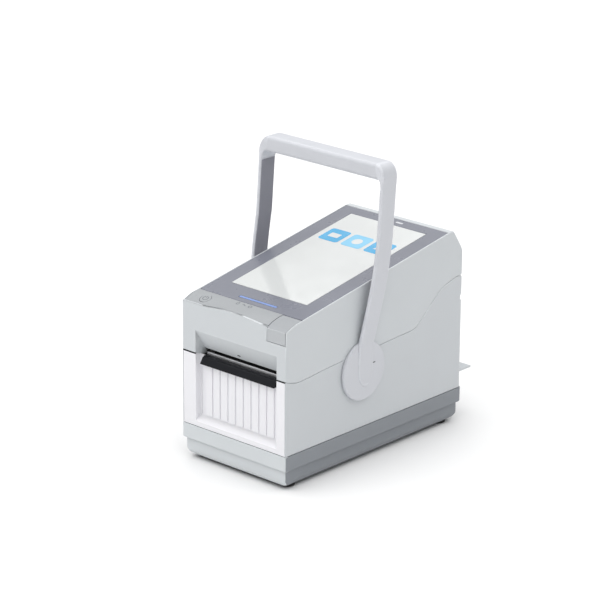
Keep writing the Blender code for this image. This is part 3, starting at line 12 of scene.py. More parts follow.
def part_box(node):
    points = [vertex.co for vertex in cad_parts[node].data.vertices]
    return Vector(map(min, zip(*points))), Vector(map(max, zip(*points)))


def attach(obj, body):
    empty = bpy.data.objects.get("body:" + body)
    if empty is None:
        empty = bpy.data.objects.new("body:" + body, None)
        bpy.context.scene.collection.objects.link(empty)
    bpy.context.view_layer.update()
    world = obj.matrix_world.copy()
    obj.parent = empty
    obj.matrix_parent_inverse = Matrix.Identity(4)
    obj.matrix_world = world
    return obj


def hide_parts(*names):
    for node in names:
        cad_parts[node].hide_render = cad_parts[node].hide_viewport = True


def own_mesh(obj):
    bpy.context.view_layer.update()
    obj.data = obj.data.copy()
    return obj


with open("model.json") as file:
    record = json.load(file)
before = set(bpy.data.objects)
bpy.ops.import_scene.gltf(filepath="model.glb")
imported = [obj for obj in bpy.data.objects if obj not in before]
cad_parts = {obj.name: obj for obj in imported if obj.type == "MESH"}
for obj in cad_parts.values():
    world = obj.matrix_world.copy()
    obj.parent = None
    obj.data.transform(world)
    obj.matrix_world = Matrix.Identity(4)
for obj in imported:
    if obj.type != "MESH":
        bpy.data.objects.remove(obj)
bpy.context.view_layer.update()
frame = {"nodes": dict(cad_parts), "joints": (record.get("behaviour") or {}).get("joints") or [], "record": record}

MM = 0.001
collection = bpy.context.scene.collection

# ---------------------------------------------------------------- lower housing
# The light grey body tub, injection moulded in ABS with a fine spark-eroded grain. It carries the
# front panel, the hinge lugs and the sockets, and stands on the base with a narrow parting line.

HOUSING_GREY = (0.565, 0.590, 0.612)
HOUSING_EDGE = 0.45 * MM


def noise(tree, scale, detail=2.0, rough=0.5):
    """A noise pattern on the piece's own coordinates, in features per metre."""
    place = tree.nodes.new("ShaderNodeTexCoord")
    made = tree.nodes.new("ShaderNodeTexNoise")
    made.inputs["Scale"].default_value = scale
    made.inputs["Detail"].default_value = detail
    made.inputs["Roughness"].default_value = rough
    tree.links.new(place.outputs["Object"], made.inputs["Vector"])
    return made.outputs["Fac"]


def spread(tree, value, low, high):
    """Maps a pattern that runs from about 0.3 to 0.7 onto low to high."""
    made = tree.nodes.new("ShaderNodeMapRange")
    made.inputs["From Min"].default_value = 0.3
    made.inputs["From Max"].default_value = 0.7
    made.inputs["To Min"].default_value = low
    made.inputs["To Max"].default_value = high
    tree.links.new(value, made.inputs["Value"])
    return made.outputs["Result"]


def blend_colour(tree, share, first, second):
    made = tree.nodes.new("ShaderNodeMix")
    made.data_type = "RGBA"
    for socket, value in ((made.inputs[6], first), (made.inputs[7], second)):
        if isinstance(value, bpy.types.NodeSocket):
            tree.links.new(value, socket)
        else:
            socket.default_value = (*value, 1.0)
    tree.links.new(share, made.inputs[0])
    return made.outputs[2]


def bump(tree, height, depth, strength=0.6, below=None):
    made = tree.nodes.new("ShaderNodeBump")
    made.inputs["Strength"].default_value = strength
    made.inputs["Distance"].default_value = depth
    tree.links.new(height, made.inputs["Height"])
    if below is not None:
        tree.links.new(below, made.inputs["Normal"])
    return made.outputs["Normal"]


def rubbed_and_highlit_edges(tree):
    """Share of the lighter edge colour, part polish from handling and part painted highlight: full on the rounded
    edges, broken up by a coarse noise.
    """
    edge = tree.nodes.new("ShaderNodeAttribute")
    edge.attribute_name = "rounded_edge"
    made = tree.nodes.new("ShaderNodeMath")
    made.operation = "MULTIPLY"
    tree.links.new(edge.outputs["Fac"], made.inputs[0])
    tree.links.new(spread(tree, noise(tree, 140.0, 4.0), 0.1, 0.9), made.inputs[1])
    return made.outputs[0]


def moulded(name, colour, roughness, grain=2600.0, depth=0.025 * MM, polish=0.35):
    """Moulded plastic: fine grain, faint mottling, and rounded edges painted lighter, part polish from handling
    and part painted highlight.
    """
    made = bpy.data.materials.new(name)
    made.use_nodes = True
    tree = made.node_tree
    shader = tree.nodes["Principled BSDF"]
    darker = tuple(0.988 * part for part in colour)
    lighter = tuple(min(1.0, 1.14 * part) for part in colour)
    mottled = blend_colour(tree, spread(tree, noise(tree, 38.0, 3.0), 0.0, 1.0), colour, darker)
    rubbed_and_highlit = rubbed_and_highlit_edges(tree)
    # The lighter edge colour is partly handling polish and partly a painted highlight along the edges.
    tree.links.new(blend_colour(tree, rubbed_and_highlit, mottled, lighter), shader.inputs["Base Color"])
    rough = tree.nodes.new("ShaderNodeMath")
    rough.operation = "MULTIPLY_ADD"
    rough.inputs[1].default_value = -polish * roughness
    tree.links.new(rubbed_and_highlit, rough.inputs[0])
    varied = spread(tree, noise(tree, 70.0, 3.0), roughness - 0.04, roughness + 0.05)
    tree.links.new(varied, rough.inputs[2])
    tree.links.new(rough.outputs[0], shader.inputs["Roughness"])
    fine = bump(tree, noise(tree, grain, 2.0, 0.6), depth)
    wide = bump(tree, noise(tree, 55.0, 2.0), 0.012 * MM, 0.3, fine)
    tree.links.new(wide, shader.inputs["Normal"])
    shader.inputs["IOR"].default_value = 1.5
    return made


def round_long_edges(bm, radius, segments, reachable, least_turn=28.0):
    """Rounds the outward edges that have room for it, and marks the new narrow faces."""
    mark = bm.faces.layers.float.new("rounded_edge")
    sharp = []
    for edge in bm.edges:
        if len(edge.link_faces) != 2 or edge.calc_face_angle(0.0) < math.radians(least_turn):
            continue
        if not edge.is_convex or not all(reachable(vert.co) for vert in edge.verts):
            continue
        run = edge.calc_length()
        room = min(face.calc_area() / run for face in edge.link_faces)
        if run > 0.8 * radius and room > 2.2 * radius:
            sharp.append(edge)
    if sharp:
        made = bmesh.ops.bevel(bm, geom=sharp, offset=radius, segments=segments, profile=0.5,
                               affect="EDGES", clamp_overlap=False)
        for face in made["faces"]:
            face[mark] = 1.0


def merged_copy(node):
    """A CAD solid's mesh with its loose triangles joined into whole faces."""
    bm = bmesh.new()
    bm.from_mesh(frame["nodes"][node].data)
    bmesh.ops.remove_doubles(bm, verts=bm.verts, dist=0.002 * MM)
    bmesh.ops.dissolve_limit(bm, angle_limit=math.radians(0.3), verts=bm.verts, edges=bm.edges)
    return bm


def piece_from(bm, name, finish, smooth_below=40.0):
    """A finished piece from a bmesh, with its flat faces kept flat beside the rounded edges."""
    mesh = bpy.data.meshes.new(name)
    bm.to_mesh(mesh)
    bm.free()
    mesh.shade_smooth()
    mesh.set_sharp_from_angle(angle=math.radians(smooth_below))
    made = bpy.data.objects.new(name, mesh)
    collection.objects.link(made)
    mesh.materials.append(finish)
    flat = made.modifiers.new("keep_flats_flat", "WEIGHTED_NORMAL")
    flat.keep_sharp = True
    return made


def fit(made, body, slot, *nodes):
    """The piece moves with its body and stands for its CAD nodes; slot is not used."""
    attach(made, body)
    if nodes:
        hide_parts(*nodes)
    return made


def shell_of(node, name, finish, body, slot, radius=HOUSING_EDGE, segments=3, reachable=lambda place: True):
    """A moulded piece: the CAD solid with its outward edges rounded where reachable says so."""
    bm = merged_copy(node)
    round_long_edges(bm, radius, segments, reachable)
    return fit(piece_from(bm, name, finish), body, slot, node)


housing_plastic = moulded("housing_plastic", HOUSING_GREY, 0.44)
housing_low, housing_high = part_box("housing")
side_x = housing_high.x
front_y = housing_low.y


def on_outside(place):
    """Whether a point lies on the body's long sides or on its front."""
    return abs(place.x) > side_x - HOUSING_EDGE or place.y < front_y + HOUSING_EDGE


shell_of("housing", "lower_housing", housing_plastic, "printer", "body_plastic", reachable=on_outside)

# ---------------------------------------------------------------- base and feet
# The wider base is a darker grey tub that holds the battery. Its sides step in by 2 mm, its lower
# edge is rounded, and its light front cap is moulded in the body's colour.

BASE_GREY = (0.245, 0.262, 0.285)
BASE_FRONT_GREY = (0.640, 0.672, 0.690)
BASE_LIP_Z = 18.6 * MM
BASE_STEP = 2.3 * MM
BASE_ROUND = 7.0 * MM
BASE_FRONT_CORNER = 3.0 * MM
BASE_REAR_CORNER = 5.0 * MM
CORNER_STEPS = 10

base_low, base_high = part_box("base_shell")


def plan_outline(shrink, z):
    """The base's outline in plan at one height, pulled in by shrink, from the front right corner on."""
    x = base_high.x - shrink
    front, rear = base_low.y + shrink, base_high.y - shrink
    corners = (
        (x, front, -1, BASE_FRONT_CORNER, -90), (x, rear, 1, BASE_REAR_CORNER, 0),
        (-x, rear, 1, BASE_REAR_CORNER, 90), (-x, front, -1, BASE_FRONT_CORNER, 180),
    )
    points = []
    for corner_x, corner_y, side, radius, start in corners:
        middle = Vector((corner_x - math.copysign(radius, corner_x), corner_y - side * radius))
        for i in range(CORNER_STEPS + 1):
            turn = math.radians(start + 90 * i / CORNER_STEPS)
            points.append((middle.x + radius * math.cos(turn), middle.y + radius * math.sin(turn), z))
    return points


def lofted(rings, name, finish, smooth_below=40.0):
    """A closed solid through rings of the same number of points, with flat ends."""
    bm = bmesh.new()
    rows = [[bm.verts.new(point) for point in ring] for ring in rings]
    count = len(rows[0])
    for low, high in zip(rows, rows[1:]):
        for i in range(count):
            j = (i + 1) % count
            bm.faces.new((low[i], low[j], high[j], high[i]))
    bm.faces.new(rows[0][::-1])
    bm.faces.new(rows[-1])
    bmesh.ops.recalc_face_normals(bm, faces=bm.faces)
    return piece_from(bm, name, finish, smooth_below)


BASE_EDGE = 0.5 * MM
BASE_FRONT_DEPTH = 3.2 * MM
ROUND_STEPS = 8


def base_sections():
    """(shrink, height) pairs from the underside up: rounded foot edge, wall, step, wall, top edge."""
    sections = []
    for i in range(ROUND_STEPS + 1):
        turn = math.radians(90 * i / ROUND_STEPS)
        sections.append((BASE_STEP + BASE_ROUND * (1 - math.sin(turn)),
                         base_low.z + BASE_ROUND * (1 - math.cos(turn))))
    sections += [
        (BASE_STEP, BASE_LIP_Z - BASE_EDGE), (BASE_STEP - 0.3 * BASE_EDGE, BASE_LIP_Z),
        (BASE_EDGE, BASE_LIP_Z + 0.3 * BASE_EDGE), (0.0, BASE_LIP_Z + 1.3 * BASE_EDGE),
        (0.0, base_high.z - BASE_EDGE), (0.3 * BASE_EDGE, base_high.z - 0.3 * BASE_EDGE),
        (BASE_EDGE, base_high.z),
    ]
    return sections


base_plastic = moulded("base_plastic", BASE_GREY, 0.52)
base_front_plastic = moulded("base_front_plastic", BASE_FRONT_GREY, 0.46)
base = lofted([plan_outline(*section) for section in base_sections()], "base_tub", base_plastic)
base.data.materials.append(base_front_plastic)
for face in base.data.polygons:
    in_front = face.center.y < base_low.y + BASE_STEP + BASE_FRONT_DEPTH
    if in_front and abs(face.normal.x) < 0.75 and face.normal.z > -0.95:
        face.material_index = 1
fit(base, "printer", "base_plastic", "base_shell", "base_deck")

rubber = moulded("foot_rubber", (0.018, 0.018, 0.019), 0.72, grain=1800.0, depth=0.05 * MM, polish=0.1)


def turned(profile, name, finish, centre, axis="Z", steps=48, smooth_below=40.0):
    """A round piece: (radius, height) points from the middle of one end to the middle of the other."""
    turn = {"X": Euler((0, math.pi / 2, 0)), "Y": Euler((-math.pi / 2, 0, 0)), "Z": Euler((0, 0, 0))}[axis]
    bm = bmesh.new()
    rows = []
    for radius, height in profile:
        if radius == 0.0:
            rows.append([bm.verts.new((0.0, 0.0, height))])
            continue
        angles = [math.tau * i / steps for i in range(steps)]
        rows.append([bm.verts.new((radius * math.cos(a), radius * math.sin(a), height)) for a in angles])
    for low, high in zip(rows, rows[1:]):
        for i in range(steps):
            j = (i + 1) % steps
            corners = [low[i % len(low)], low[j % len(low)], high[j % len(high)], high[i % len(high)]]
            bm.faces.new(list(dict.fromkeys(corners)))
    bmesh.ops.recalc_face_normals(bm, faces=bm.faces)
    bmesh.ops.transform(bm, matrix=Matrix.Translation(centre) @ turn.to_matrix().to_4x4(), verts=bm.verts)
    return piece_from(bm, name, finish, smooth_below)


FOOT_RIM = 0.5 * MM
FOOT_DISH = 0.25 * MM
for end in ("front", "rear"):
    for side in ("left", "right"):
        node = f"foot_{end}_{side}"
        low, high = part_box(node)
        middle = (low + high) / 2
        radius = (high.x - low.x) / 2
        tall = high.z - low.z
        profile = [(0.0, FOOT_DISH), (radius - 2.2 * FOOT_RIM, FOOT_DISH),
                   (radius - 1.6 * FOOT_RIM, 0.0), (radius - FOOT_RIM, 0.0),
                   (radius - 0.4 * FOOT_RIM, 0.4 * FOOT_RIM), (radius, tall - FOOT_RIM),
                   (radius, tall), (0.0, tall)]
        foot = turned(profile, f"rubber_{node}", rubber, (middle.x, middle.y, low.z))
        fit(foot, "printer", "black_rubber", node)

# ---------------------------------------------------------------- front panel
# A white ABS panel fills the front below the slot. Its recess carries flat ribs with narrow
# grooves between them, and on both sides of the slot a thin black strip on the joint to the cover is painted
# shadow for the dark gap there.

FRONT_WHITE = (0.840, 0.838, 0.868)
RIB_PITCH = 8.9 * MM
RIB_GAP = 1.35 * MM
RIB_PROUD = 1.2 * MM
RIB_ROUND = 0.4 * MM
RIB_COUNT = 9
LABEL_X = 2.4 * MM
RECESS_HALF = 46.5 * MM
RECESS_BACK = 6.0 * MM
RIB_FOOT = 10.6 * MM
# Height and stand-out of the black strips that paint the joint's shadow.
SHADOW_STRIP_HIGH = 1.15 * MM
SHADOW_STRIP_PROUD = 0.12 * MM

front_plastic = moulded("front_plastic", FRONT_WHITE, 0.40)
shell_of("front_panel", "front_panel_shell", front_plastic, "printer", "front_plastic", radius=0.35 * MM)
panel_low, panel_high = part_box("front_panel")


def node_group(name, inputs):
    """An empty Geometry Nodes tree with named inputs, and its group input and output nodes."""
    tree = bpy.data.node_groups.new(name, "GeometryNodeTree")
    tree.interface.new_socket("Geometry", in_out="OUTPUT", socket_type="NodeSocketGeometry")
    for label, kind in inputs:
        tree.interface.new_socket(label, in_out="INPUT", socket_type=kind)
    return tree, tree.nodes.new("NodeGroupInput"), tree.nodes.new("NodeGroupOutput")


def repeated(name, tree, values, body, slot, smooth_below=40.0):
    """Runs a Geometry Nodes tree on a new object with its inputs set, and keeps the plain mesh."""
    holder = bpy.data.objects.new(name + "_holder", bpy.data.meshes.new(name + "_holder"))
    collection.objects.link(holder)
    run = holder.modifiers.new("run", "NODES")
    run.node_group = tree
    sockets = {item.name: item.identifier for item in tree.interface.items_tree if item.in_out == "INPUT"}
    for label, value in values.items():
        run[sockets[label]] = value
    graph = bpy.context.evaluated_depsgraph_get()
    mesh = bpy.data.meshes.new_from_object(holder.evaluated_get(graph))
    bpy.data.objects.remove(holder, do_unlink=True)
    mesh.shade_smooth()
    mesh.set_sharp_from_angle(angle=math.radians(smooth_below))
    mesh.name = name
    made = bpy.data.objects.new(name, mesh)
    collection.objects.link(made)
    return fit(made, body, slot)


def row_tree(name, shape):
    """Copies of a shape in a straight row: inputs Start, Step, Count and Finish."""
    tree, given, result = node_group(name, (("Start", "NodeSocketVector"), ("Step", "NodeSocketVector"),
                                            ("Count", "NodeSocketInt"), ("Finish", "NodeSocketMaterial")))
    line = tree.nodes.new("GeometryNodeMeshLine")
    line.mode = "OFFSET"
    tree.links.new(given.outputs["Count"], line.inputs["Count"])
    tree.links.new(given.outputs["Start"], line.inputs["Start Location"])
    tree.links.new(given.outputs["Step"], line.inputs["Offset"])
    source = tree.nodes.new("GeometryNodeObjectInfo")
    source.inputs["Object"].default_value = shape
    copies = tree.nodes.new("GeometryNodeInstanceOnPoints")
    tree.links.new(line.outputs["Mesh"], copies.inputs["Points"])
    tree.links.new(source.outputs["Geometry"], copies.inputs["Instance"])
    real = tree.nodes.new("GeometryNodeRealizeInstances")
    tree.links.new(copies.outputs["Instances"], real.inputs["Geometry"])
    paint = tree.nodes.new("GeometryNodeSetMaterial")
    tree.links.new(real.outputs["Geometry"], paint.inputs["Geometry"])
    tree.links.new(given.outputs["Finish"], paint.inputs["Material"])
    tree.links.new(paint.outputs["Geometry"], result.inputs["Geometry"])
    return tree


def prism(outline, thick):
    """A solid from a flat (x, y) outline, thick along z."""
    bm = bmesh.new()
    face = bm.faces.new([bm.verts.new((x, y, 0.0)) for x, y in outline])
    made = bmesh.ops.extrude_face_region(bm, geom=[face])
    lifted = [item for item in made["geom"] if isinstance(item, bmesh.types.BMVert)]
    bmesh.ops.translate(bm, verts=lifted, vec=(0.0, 0.0, thick))
    bmesh.ops.recalc_face_normals(bm, faces=bm.faces)
    return bm


def pattern_shape(name, outline, thick):
    """One solid to be repeated, kept out of the scene."""
    bm = prism(outline, thick)
    mesh = bpy.data.meshes.new(name)
    bm.to_mesh(mesh)
    bm.free()
    return bpy.data.objects.new(name, mesh)


def rounded_outline(half_x, half_y, radius, steps=6, middle=(0.0, 0.0)):
    """Points round a rectangle with rounded corners."""
    points = []
    for corner, (side_u, side_v) in enumerate(((1, 1), (-1, 1), (-1, -1), (1, -1))):
        centre_u = middle[0] + side_u * (half_x - radius)
        centre_v = middle[1] + side_v * (half_y - radius)
        for i in range(steps + 1):
            turn = math.radians(90 * corner + 90 * i / steps)
            points.append((centre_u + radius * math.cos(turn), centre_v + radius * math.sin(turn)))
    return points


recess_y = panel_low.y + RECESS_BACK
rib_half = (RIB_PITCH - RIB_GAP) / 2
tear_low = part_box("tear_bar")[0]
rib = pattern_shape("front_rib", rounded_outline(rib_half, RIB_PROUD, RIB_ROUND, 4),
                    tear_low.z - 0.5 * MM - panel_low.z - RIB_FOOT)
rib_start = Vector((LABEL_X - RIB_PITCH * (RIB_COUNT - 1) / 2, recess_y, panel_low.z + RIB_FOOT))
repeated("front_ribs", row_tree("front_rib_row", rib),
         {"Start": rib_start, "Step": Vector((RIB_PITCH, 0, 0)), "Count": RIB_COUNT, "Finish": front_plastic},
         "printer", "front_plastic")

black_plastic = moulded("black_plastic", (0.007, 0.008, 0.011), 0.46, grain=1500.0, depth=0.04 * MM)
black_plastic.node_tree.nodes["Principled BSDF"].inputs["Specular IOR Level"].default_value = 0.18
# Black strips laid proud on the panel-cover joint: painted shadow standing for the dark gap.
for side_name, shadow_strip_x in (("left", (-side_x + 1.0 * MM, LABEL_X - RECESS_HALF)),
                         ("right", (LABEL_X + RECESS_HALF, side_x - 1.0 * MM))):
    middle = (sum(shadow_strip_x) / 2, panel_low.y + SHADOW_STRIP_HIGH / 2 - SHADOW_STRIP_PROUD)
    outline = rounded_outline((shadow_strip_x[1] - shadow_strip_x[0]) / 2, SHADOW_STRIP_HIGH / 2, 0.3 * MM, 4, middle)
    bm = prism(outline, SHADOW_STRIP_HIGH)
    bmesh.ops.translate(bm, verts=bm.verts, vec=(0.0, 0.0, panel_high.z - 0.7 * SHADOW_STRIP_HIGH))
    fit(piece_from(bm, f"joint_lip_{side_name}", black_plastic), "printer", "black_plastic")

# ---------------------------------------------------------------- tear bar and blade
# A black glass-filled plastic bar stands below the slot. A toothed steel blade is clamped behind
# it and shows as a bright line above its top.

TOOTH_PITCH = 1.25 * MM
TOOTH_REACH = 0.7 * MM
BLADE_THICK = 0.6 * MM
BLADE_RISE = 0.8 * MM
BAR_DROP = 1.1 * MM


def metal(name, colour, roughness, stretch=(1.0, 1.0, 1.0), scale=900.0):
    """Bare or plated metal: fine brushed lines across the shrunken direction, and light stains."""
    made = bpy.data.materials.new(name)
    made.use_nodes = True
    tree = made.node_tree
    shader = tree.nodes["Principled BSDF"]
    shader.inputs["Metallic"].default_value = 1.0
    place = tree.nodes.new("ShaderNodeTexCoord")
    lines = tree.nodes.new("ShaderNodeMapping")
    lines.inputs["Scale"].default_value = stretch
    tree.links.new(place.outputs["Object"], lines.inputs["Vector"])
    grain = tree.nodes.new("ShaderNodeTexNoise")
    grain.inputs["Scale"].default_value = scale
    grain.inputs["Detail"].default_value = 3.0
    tree.links.new(lines.outputs["Vector"], grain.inputs["Vector"])
    stained = spread(tree, noise(tree, 90.0, 4.0), 0.0, 1.0)
    dull = tuple(0.85 * part for part in colour)
    tree.links.new(blend_colour(tree, stained, colour, dull), shader.inputs["Base Color"])
    varied = spread(tree, grain.outputs["Fac"], roughness - 0.07, roughness + 0.09)
    tree.links.new(varied, shader.inputs["Roughness"])
    tree.links.new(bump(tree, grain.outputs["Fac"], 0.01 * MM, 0.5), shader.inputs["Normal"])
    return made


bright_steel = metal("bright_steel", (0.88, 0.89, 0.91), 0.42, (0.06, 1.0, 1.0))
bar_low, bar_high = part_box("tear_bar")
blade_low, blade_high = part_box("tear_blade")


def along_x(outline, low_x, high_x, name, finish, edge=0.0):
    """A bar along x with a (y, z) outline and rounded long edges."""
    bm = prism(outline, high_x - low_x)
    turn = Matrix(((0, 0, 1, low_x), (1, 0, 0, 0), (0, 1, 0, 0), (0, 0, 0, 1)))
    bmesh.ops.transform(bm, matrix=turn, verts=bm.verts)
    bmesh.ops.recalc_face_normals(bm, faces=bm.faces)
    if edge:
        round_long_edges(bm, edge, 3, lambda place: True, 15.0)
    return piece_from(bm, name, finish)


bar_front, bar_rear = bar_low.y, bar_high.y
bar_top = bar_high.z
bar_outline = [
    (bar_front, bar_low.z), (bar_front + 3.4 * MM, bar_top - BAR_DROP - 1.0 * MM),
    (bar_front + 5.0 * MM, bar_top - BAR_DROP), (blade_low.y - 0.2 * MM, bar_top - BAR_DROP),
    (blade_low.y - 0.2 * MM, bar_top - 4.4 * MM), (bar_rear, bar_top - 4.4 * MM),
    (bar_rear, bar_low.z + 1.0 * MM), (bar_front + 7.2 * MM, bar_low.z),
]
bar = along_x(bar_outline, bar_low.x, bar_high.x, "tear_bar_body", black_plastic, 0.4 * MM)
fit(bar, "printer", "black_plastic", "tear_bar")

blade_top = blade_high.z + BLADE_RISE
blade_outline = [
    (blade_low.y, blade_low.z), (blade_high.y, blade_low.z), (blade_high.y, blade_low.z + BLADE_THICK),
    (blade_low.y + BLADE_THICK, blade_low.z + BLADE_THICK), (blade_low.y + BLADE_THICK, blade_top - 0.1 * MM),
    (blade_low.y + 0.3 * BLADE_THICK, blade_top), (blade_low.y, blade_top - 0.3 * MM),
]
blade = along_x(blade_outline, blade_low.x, blade_high.x, "tear_blade_body", bright_steel, 0.1 * MM)
fit(blade, "printer", "bright_steel", "tear_blade")
tooth_outline = ((-TOOTH_PITCH / 2, 0.0), (0.0, -TOOTH_REACH), (TOOTH_PITCH / 2, 0.0))
tooth = pattern_shape("blade_tooth", tooth_outline, 0.35 * MM)
tooth.data.transform(Matrix.Rotation(math.radians(-90), 4, "X"))
tooth_count = int((blade_high.x - blade_low.x) / TOOTH_PITCH) - 1
tooth_start = Vector((blade_low.x + TOOTH_PITCH, blade_low.y + 0.05 * MM, blade_top - 0.3 * MM))
repeated("tear_blade_teeth", row_tree("blade_teeth", tooth),
         {"Start": tooth_start, "Step": Vector((TOOTH_PITCH, 0, 0)), "Count": tooth_count,
          "Finish": bright_steel},
         "printer", "bright_steel")

# ---------------------------------------------------------------- cover
# The clamshell cover carries the display. It is moulded like the housing; its grey is a little lighter,
# painted light standing for the brighter light on its front face, and its lower edge follows the S-shaped seam.

COVER_LIT_GREY = (0.585, 0.612, 0.632)
cover_lit_plastic = moulded("cover_lit_plastic", COVER_LIT_GREY, 0.43)
shell_of("cover_shell", "cover_moulding", cover_lit_plastic, "cover", "body_plastic", reachable=on_outside)

# A small black mark stands on the nose, painted shade standing for a small moulded notch there. What the real one
# is for isn't known, so its name is a guess.
MARK_X = -1.6 * MM
MARK_Z = 104.0 * MM
cover_bm = bmesh.new()
cover_bm.from_mesh(frame["nodes"]["cover_shell"].data)
nose_place = BVHTree.FromBMesh(cover_bm).ray_cast(Vector((MARK_X, -1.0, MARK_Z)), Vector((0, 1, 0)))[0]
cover_bm.free()
nose_notch_shade = prism(rounded_outline(1.7 * MM, 0.55 * MM, 0.5 * MM, 6), 0.5 * MM)
face_on = Matrix(((1, 0, 0, MARK_X), (0, 0, 1, nose_place.y - 0.2 * MM), (0, 1, 0, MARK_Z), (0, 0, 0, 1)))
bmesh.ops.transform(nose_notch_shade, matrix=face_on, verts=nose_notch_shade.verts)
bmesh.ops.recalc_face_normals(nose_notch_shade, faces=nose_notch_shade.faces)
fit(piece_from(nose_notch_shade, "label_middle_mark", black_plastic, 30.0), "cover", "body_plastic")

# ---------------------------------------------------------------- control strip, button and lever
# A darker strip slopes up to the display. The round power button is flush in it, and the release
# lever stands at its right end. Both are plastic mouldings of their own, and their marks are raised ink.

STRIP_GREY = (0.335, 0.350, 0.364)
LEVER_GREY = (0.345, 0.360, 0.378)
MARK_GREY = (0.105, 0.115, 0.135)
MARK_LIFT = 0.06 * MM
MARK_LINE = 0.55 * MM
strip_plastic = moulded("strip_plastic", STRIP_GREY, 0.42)
lever_plastic = moulded("stippled_plastic", LEVER_GREY, 0.50, grain=900.0, depth=0.16 * MM)
mark_ink = moulded("printed_mark", MARK_GREY, 0.5, grain=1500.0)
strip = shell_of("control_strip", "control_strip_skin", strip_plastic, "cover", "strip_plastic",
                 radius=0.3 * MM)
button = shell_of("power_button", "power_button_cap", strip_plastic, "power_button", "strip_plastic",
                  radius=0.4 * MM)
lever = shell_of("release_lever", "release_lever_body", lever_plastic, "release_lever", "strip_plastic",
                 radius=0.6 * MM)

lever_front_plastic = moulded("lever_front_plastic", (0.470, 0.490, 0.508), 0.42)
lever.data.materials.append(lever_front_plastic)
for face in lever.data.polygons:
    if face.normal.y < -0.8:
        face.material_index = 1


def drop_onto(made):
    """Height of a piece's top under a point (x, y)."""
    bm = bmesh.new()
    bm.from_mesh(made.data)
    tree = BVHTree.FromBMesh(bm)
    bm.free()
    return lambda x, y: tree.ray_cast(Vector((x, y, 1.0)), Vector((0, 0, -1)))[0].z


def printed_stroke(name, path, width, height_at, finish, closed=False):
    """A thin raised band of ink along a path of (x, y) points, laid on the surface below it."""
    points = [Vector(point) for point in path]
    count = len(points)
    rows = []
    for i, point in enumerate(points):
        before = points[(i - 1) % count] if closed or i else point
        after = points[(i + 1) % count] if closed or i < count - 1 else point
        across = (after - before).normalized().orthogonal() * width / 2
        rows.append((point + across, point - across))
    bm = bmesh.new()
    rings = []
    for left, right in rows:
        low = [bm.verts.new((p.x, p.y, height_at(p.x, p.y) - MARK_LIFT)) for p in (right, left)]
        high = [bm.verts.new((p.x, p.y, height_at(p.x, p.y) + MARK_LIFT)) for p in (left, right)]
        rings.append(low + high)
    pairs = list(zip(rings, rings[1:] + rings[:1])) if closed else list(zip(rings, rings[1:]))
    for ring, following in pairs:
        for k in range(4):
            m = (k + 1) % 4
            bm.faces.new((ring[k], ring[m], following[m], following[k]))
    if not closed:
        bm.faces.new(rings[0][::-1])
        bm.faces.new(rings[-1])
    bmesh.ops.recalc_face_normals(bm, faces=bm.faces)
    return piece_from(bm, name, finish, 30.0)


def arc_path(middle, radius, start, stop, steps=16):
    turn = [math.radians(start + (stop - start) * i / steps) for i in range(steps + 1)]
    return [(middle[0] + radius * math.cos(a), middle[1] + radius * math.sin(a)) for a in turn]


button_low, button_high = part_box("power_button")
button_mid = (button_low + button_high) / 2
on_button = drop_onto(button)
power_ring = arc_path((button_mid.x, button_mid.y), 2.5 * MM, 125, 415, 20)
power_bar = [(button_mid.x, button_mid.y + 0.6 * MM), (button_mid.x, button_mid.y + 3.2 * MM)]
for mark_name, path in (("power_mark_ring", power_ring), ("power_mark_bar", power_bar)):
    fit(printed_stroke(mark_name, path, MARK_LINE, on_button, mark_ink), "power_button", "strip_plastic")

# Three small generic status pictures in the middle of the strip: a drop, a wave and a roll.
DROP_X = LABEL_X - 12.6 * MM
WAVE_X = LABEL_X - 7.6 * MM
WAVE_LONG = 4.0 * MM
WAVE_HIGH = 0.9 * MM
WAVE_STEPS = 12
ROLL_X = LABEL_X + 1.0 * MM
PICTURE_RISE = 0.6 * MM
PICTURE_LINE = 0.5 * MM
on_strip = drop_onto(strip)
strip_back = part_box("control_strip")[1].y
mark_y = strip_back - 4.2 * MM
drop_shape = arc_path((DROP_X, mark_y), 1.3 * MM, -200, 20, 10) + [(DROP_X, mark_y + 3.0 * MM)]
wave_shape = [(WAVE_X + WAVE_LONG * i / WAVE_STEPS,
               mark_y + WAVE_HIGH * math.sin(math.tau * i / WAVE_STEPS) + PICTURE_RISE)
              for i in range(WAVE_STEPS + 1)]
roll_shape = arc_path((ROLL_X, mark_y + PICTURE_RISE), 1.7 * MM, 0, 345, 18)
pictures = (("status_mark_drop", drop_shape, True), ("status_mark_wave", wave_shape, False),
            ("status_mark_roll", roll_shape, True))
for mark_name, path, closed in pictures:
    stroke = printed_stroke(mark_name, path, PICTURE_LINE, on_strip, mark_ink, closed)
    fit(stroke, "cover", "strip_plastic")

# Very low ridges across the lever's top, as a grip for the finger.
LEVER_RIDGES = 6
RIDGE_PITCH = 2.2 * MM
RIDGE_BACK = 4.0 * MM
RIDGE_SIDE = 3.0 * MM
RIDGE_WIDE = 0.7 * MM
lever_low, lever_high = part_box("release_lever")
on_lever = drop_onto(lever)
for i in range(LEVER_RIDGES):
    y = lever_high.y - RIDGE_BACK - RIDGE_PITCH * i
    path = [(lever_low.x + RIDGE_SIDE + k * MM, y) for k in range(15)]
    ridge = printed_stroke(f"lever_ridge_{i + 1}", path, RIDGE_WIDE, on_lever, lever_plastic)
    fit(ridge, "release_lever", "strip_plastic")

# ---------------------------------------------------------------- display
# A seven-inch panel behind white glass in a grey semi-gloss bezel, with a status light below it.
# The lit panel shows a plain start page of tiles, without words.

BEZEL_GREY = (0.184, 0.192, 0.230)
bezel_plastic = moulded("bezel_plastic", BEZEL_GREY, 0.30, grain=3200.0, depth=0.012 * MM)
shell_of("display_bezel", "display_frame", bezel_plastic, "cover", "bezel_plastic", radius=0.5 * MM)


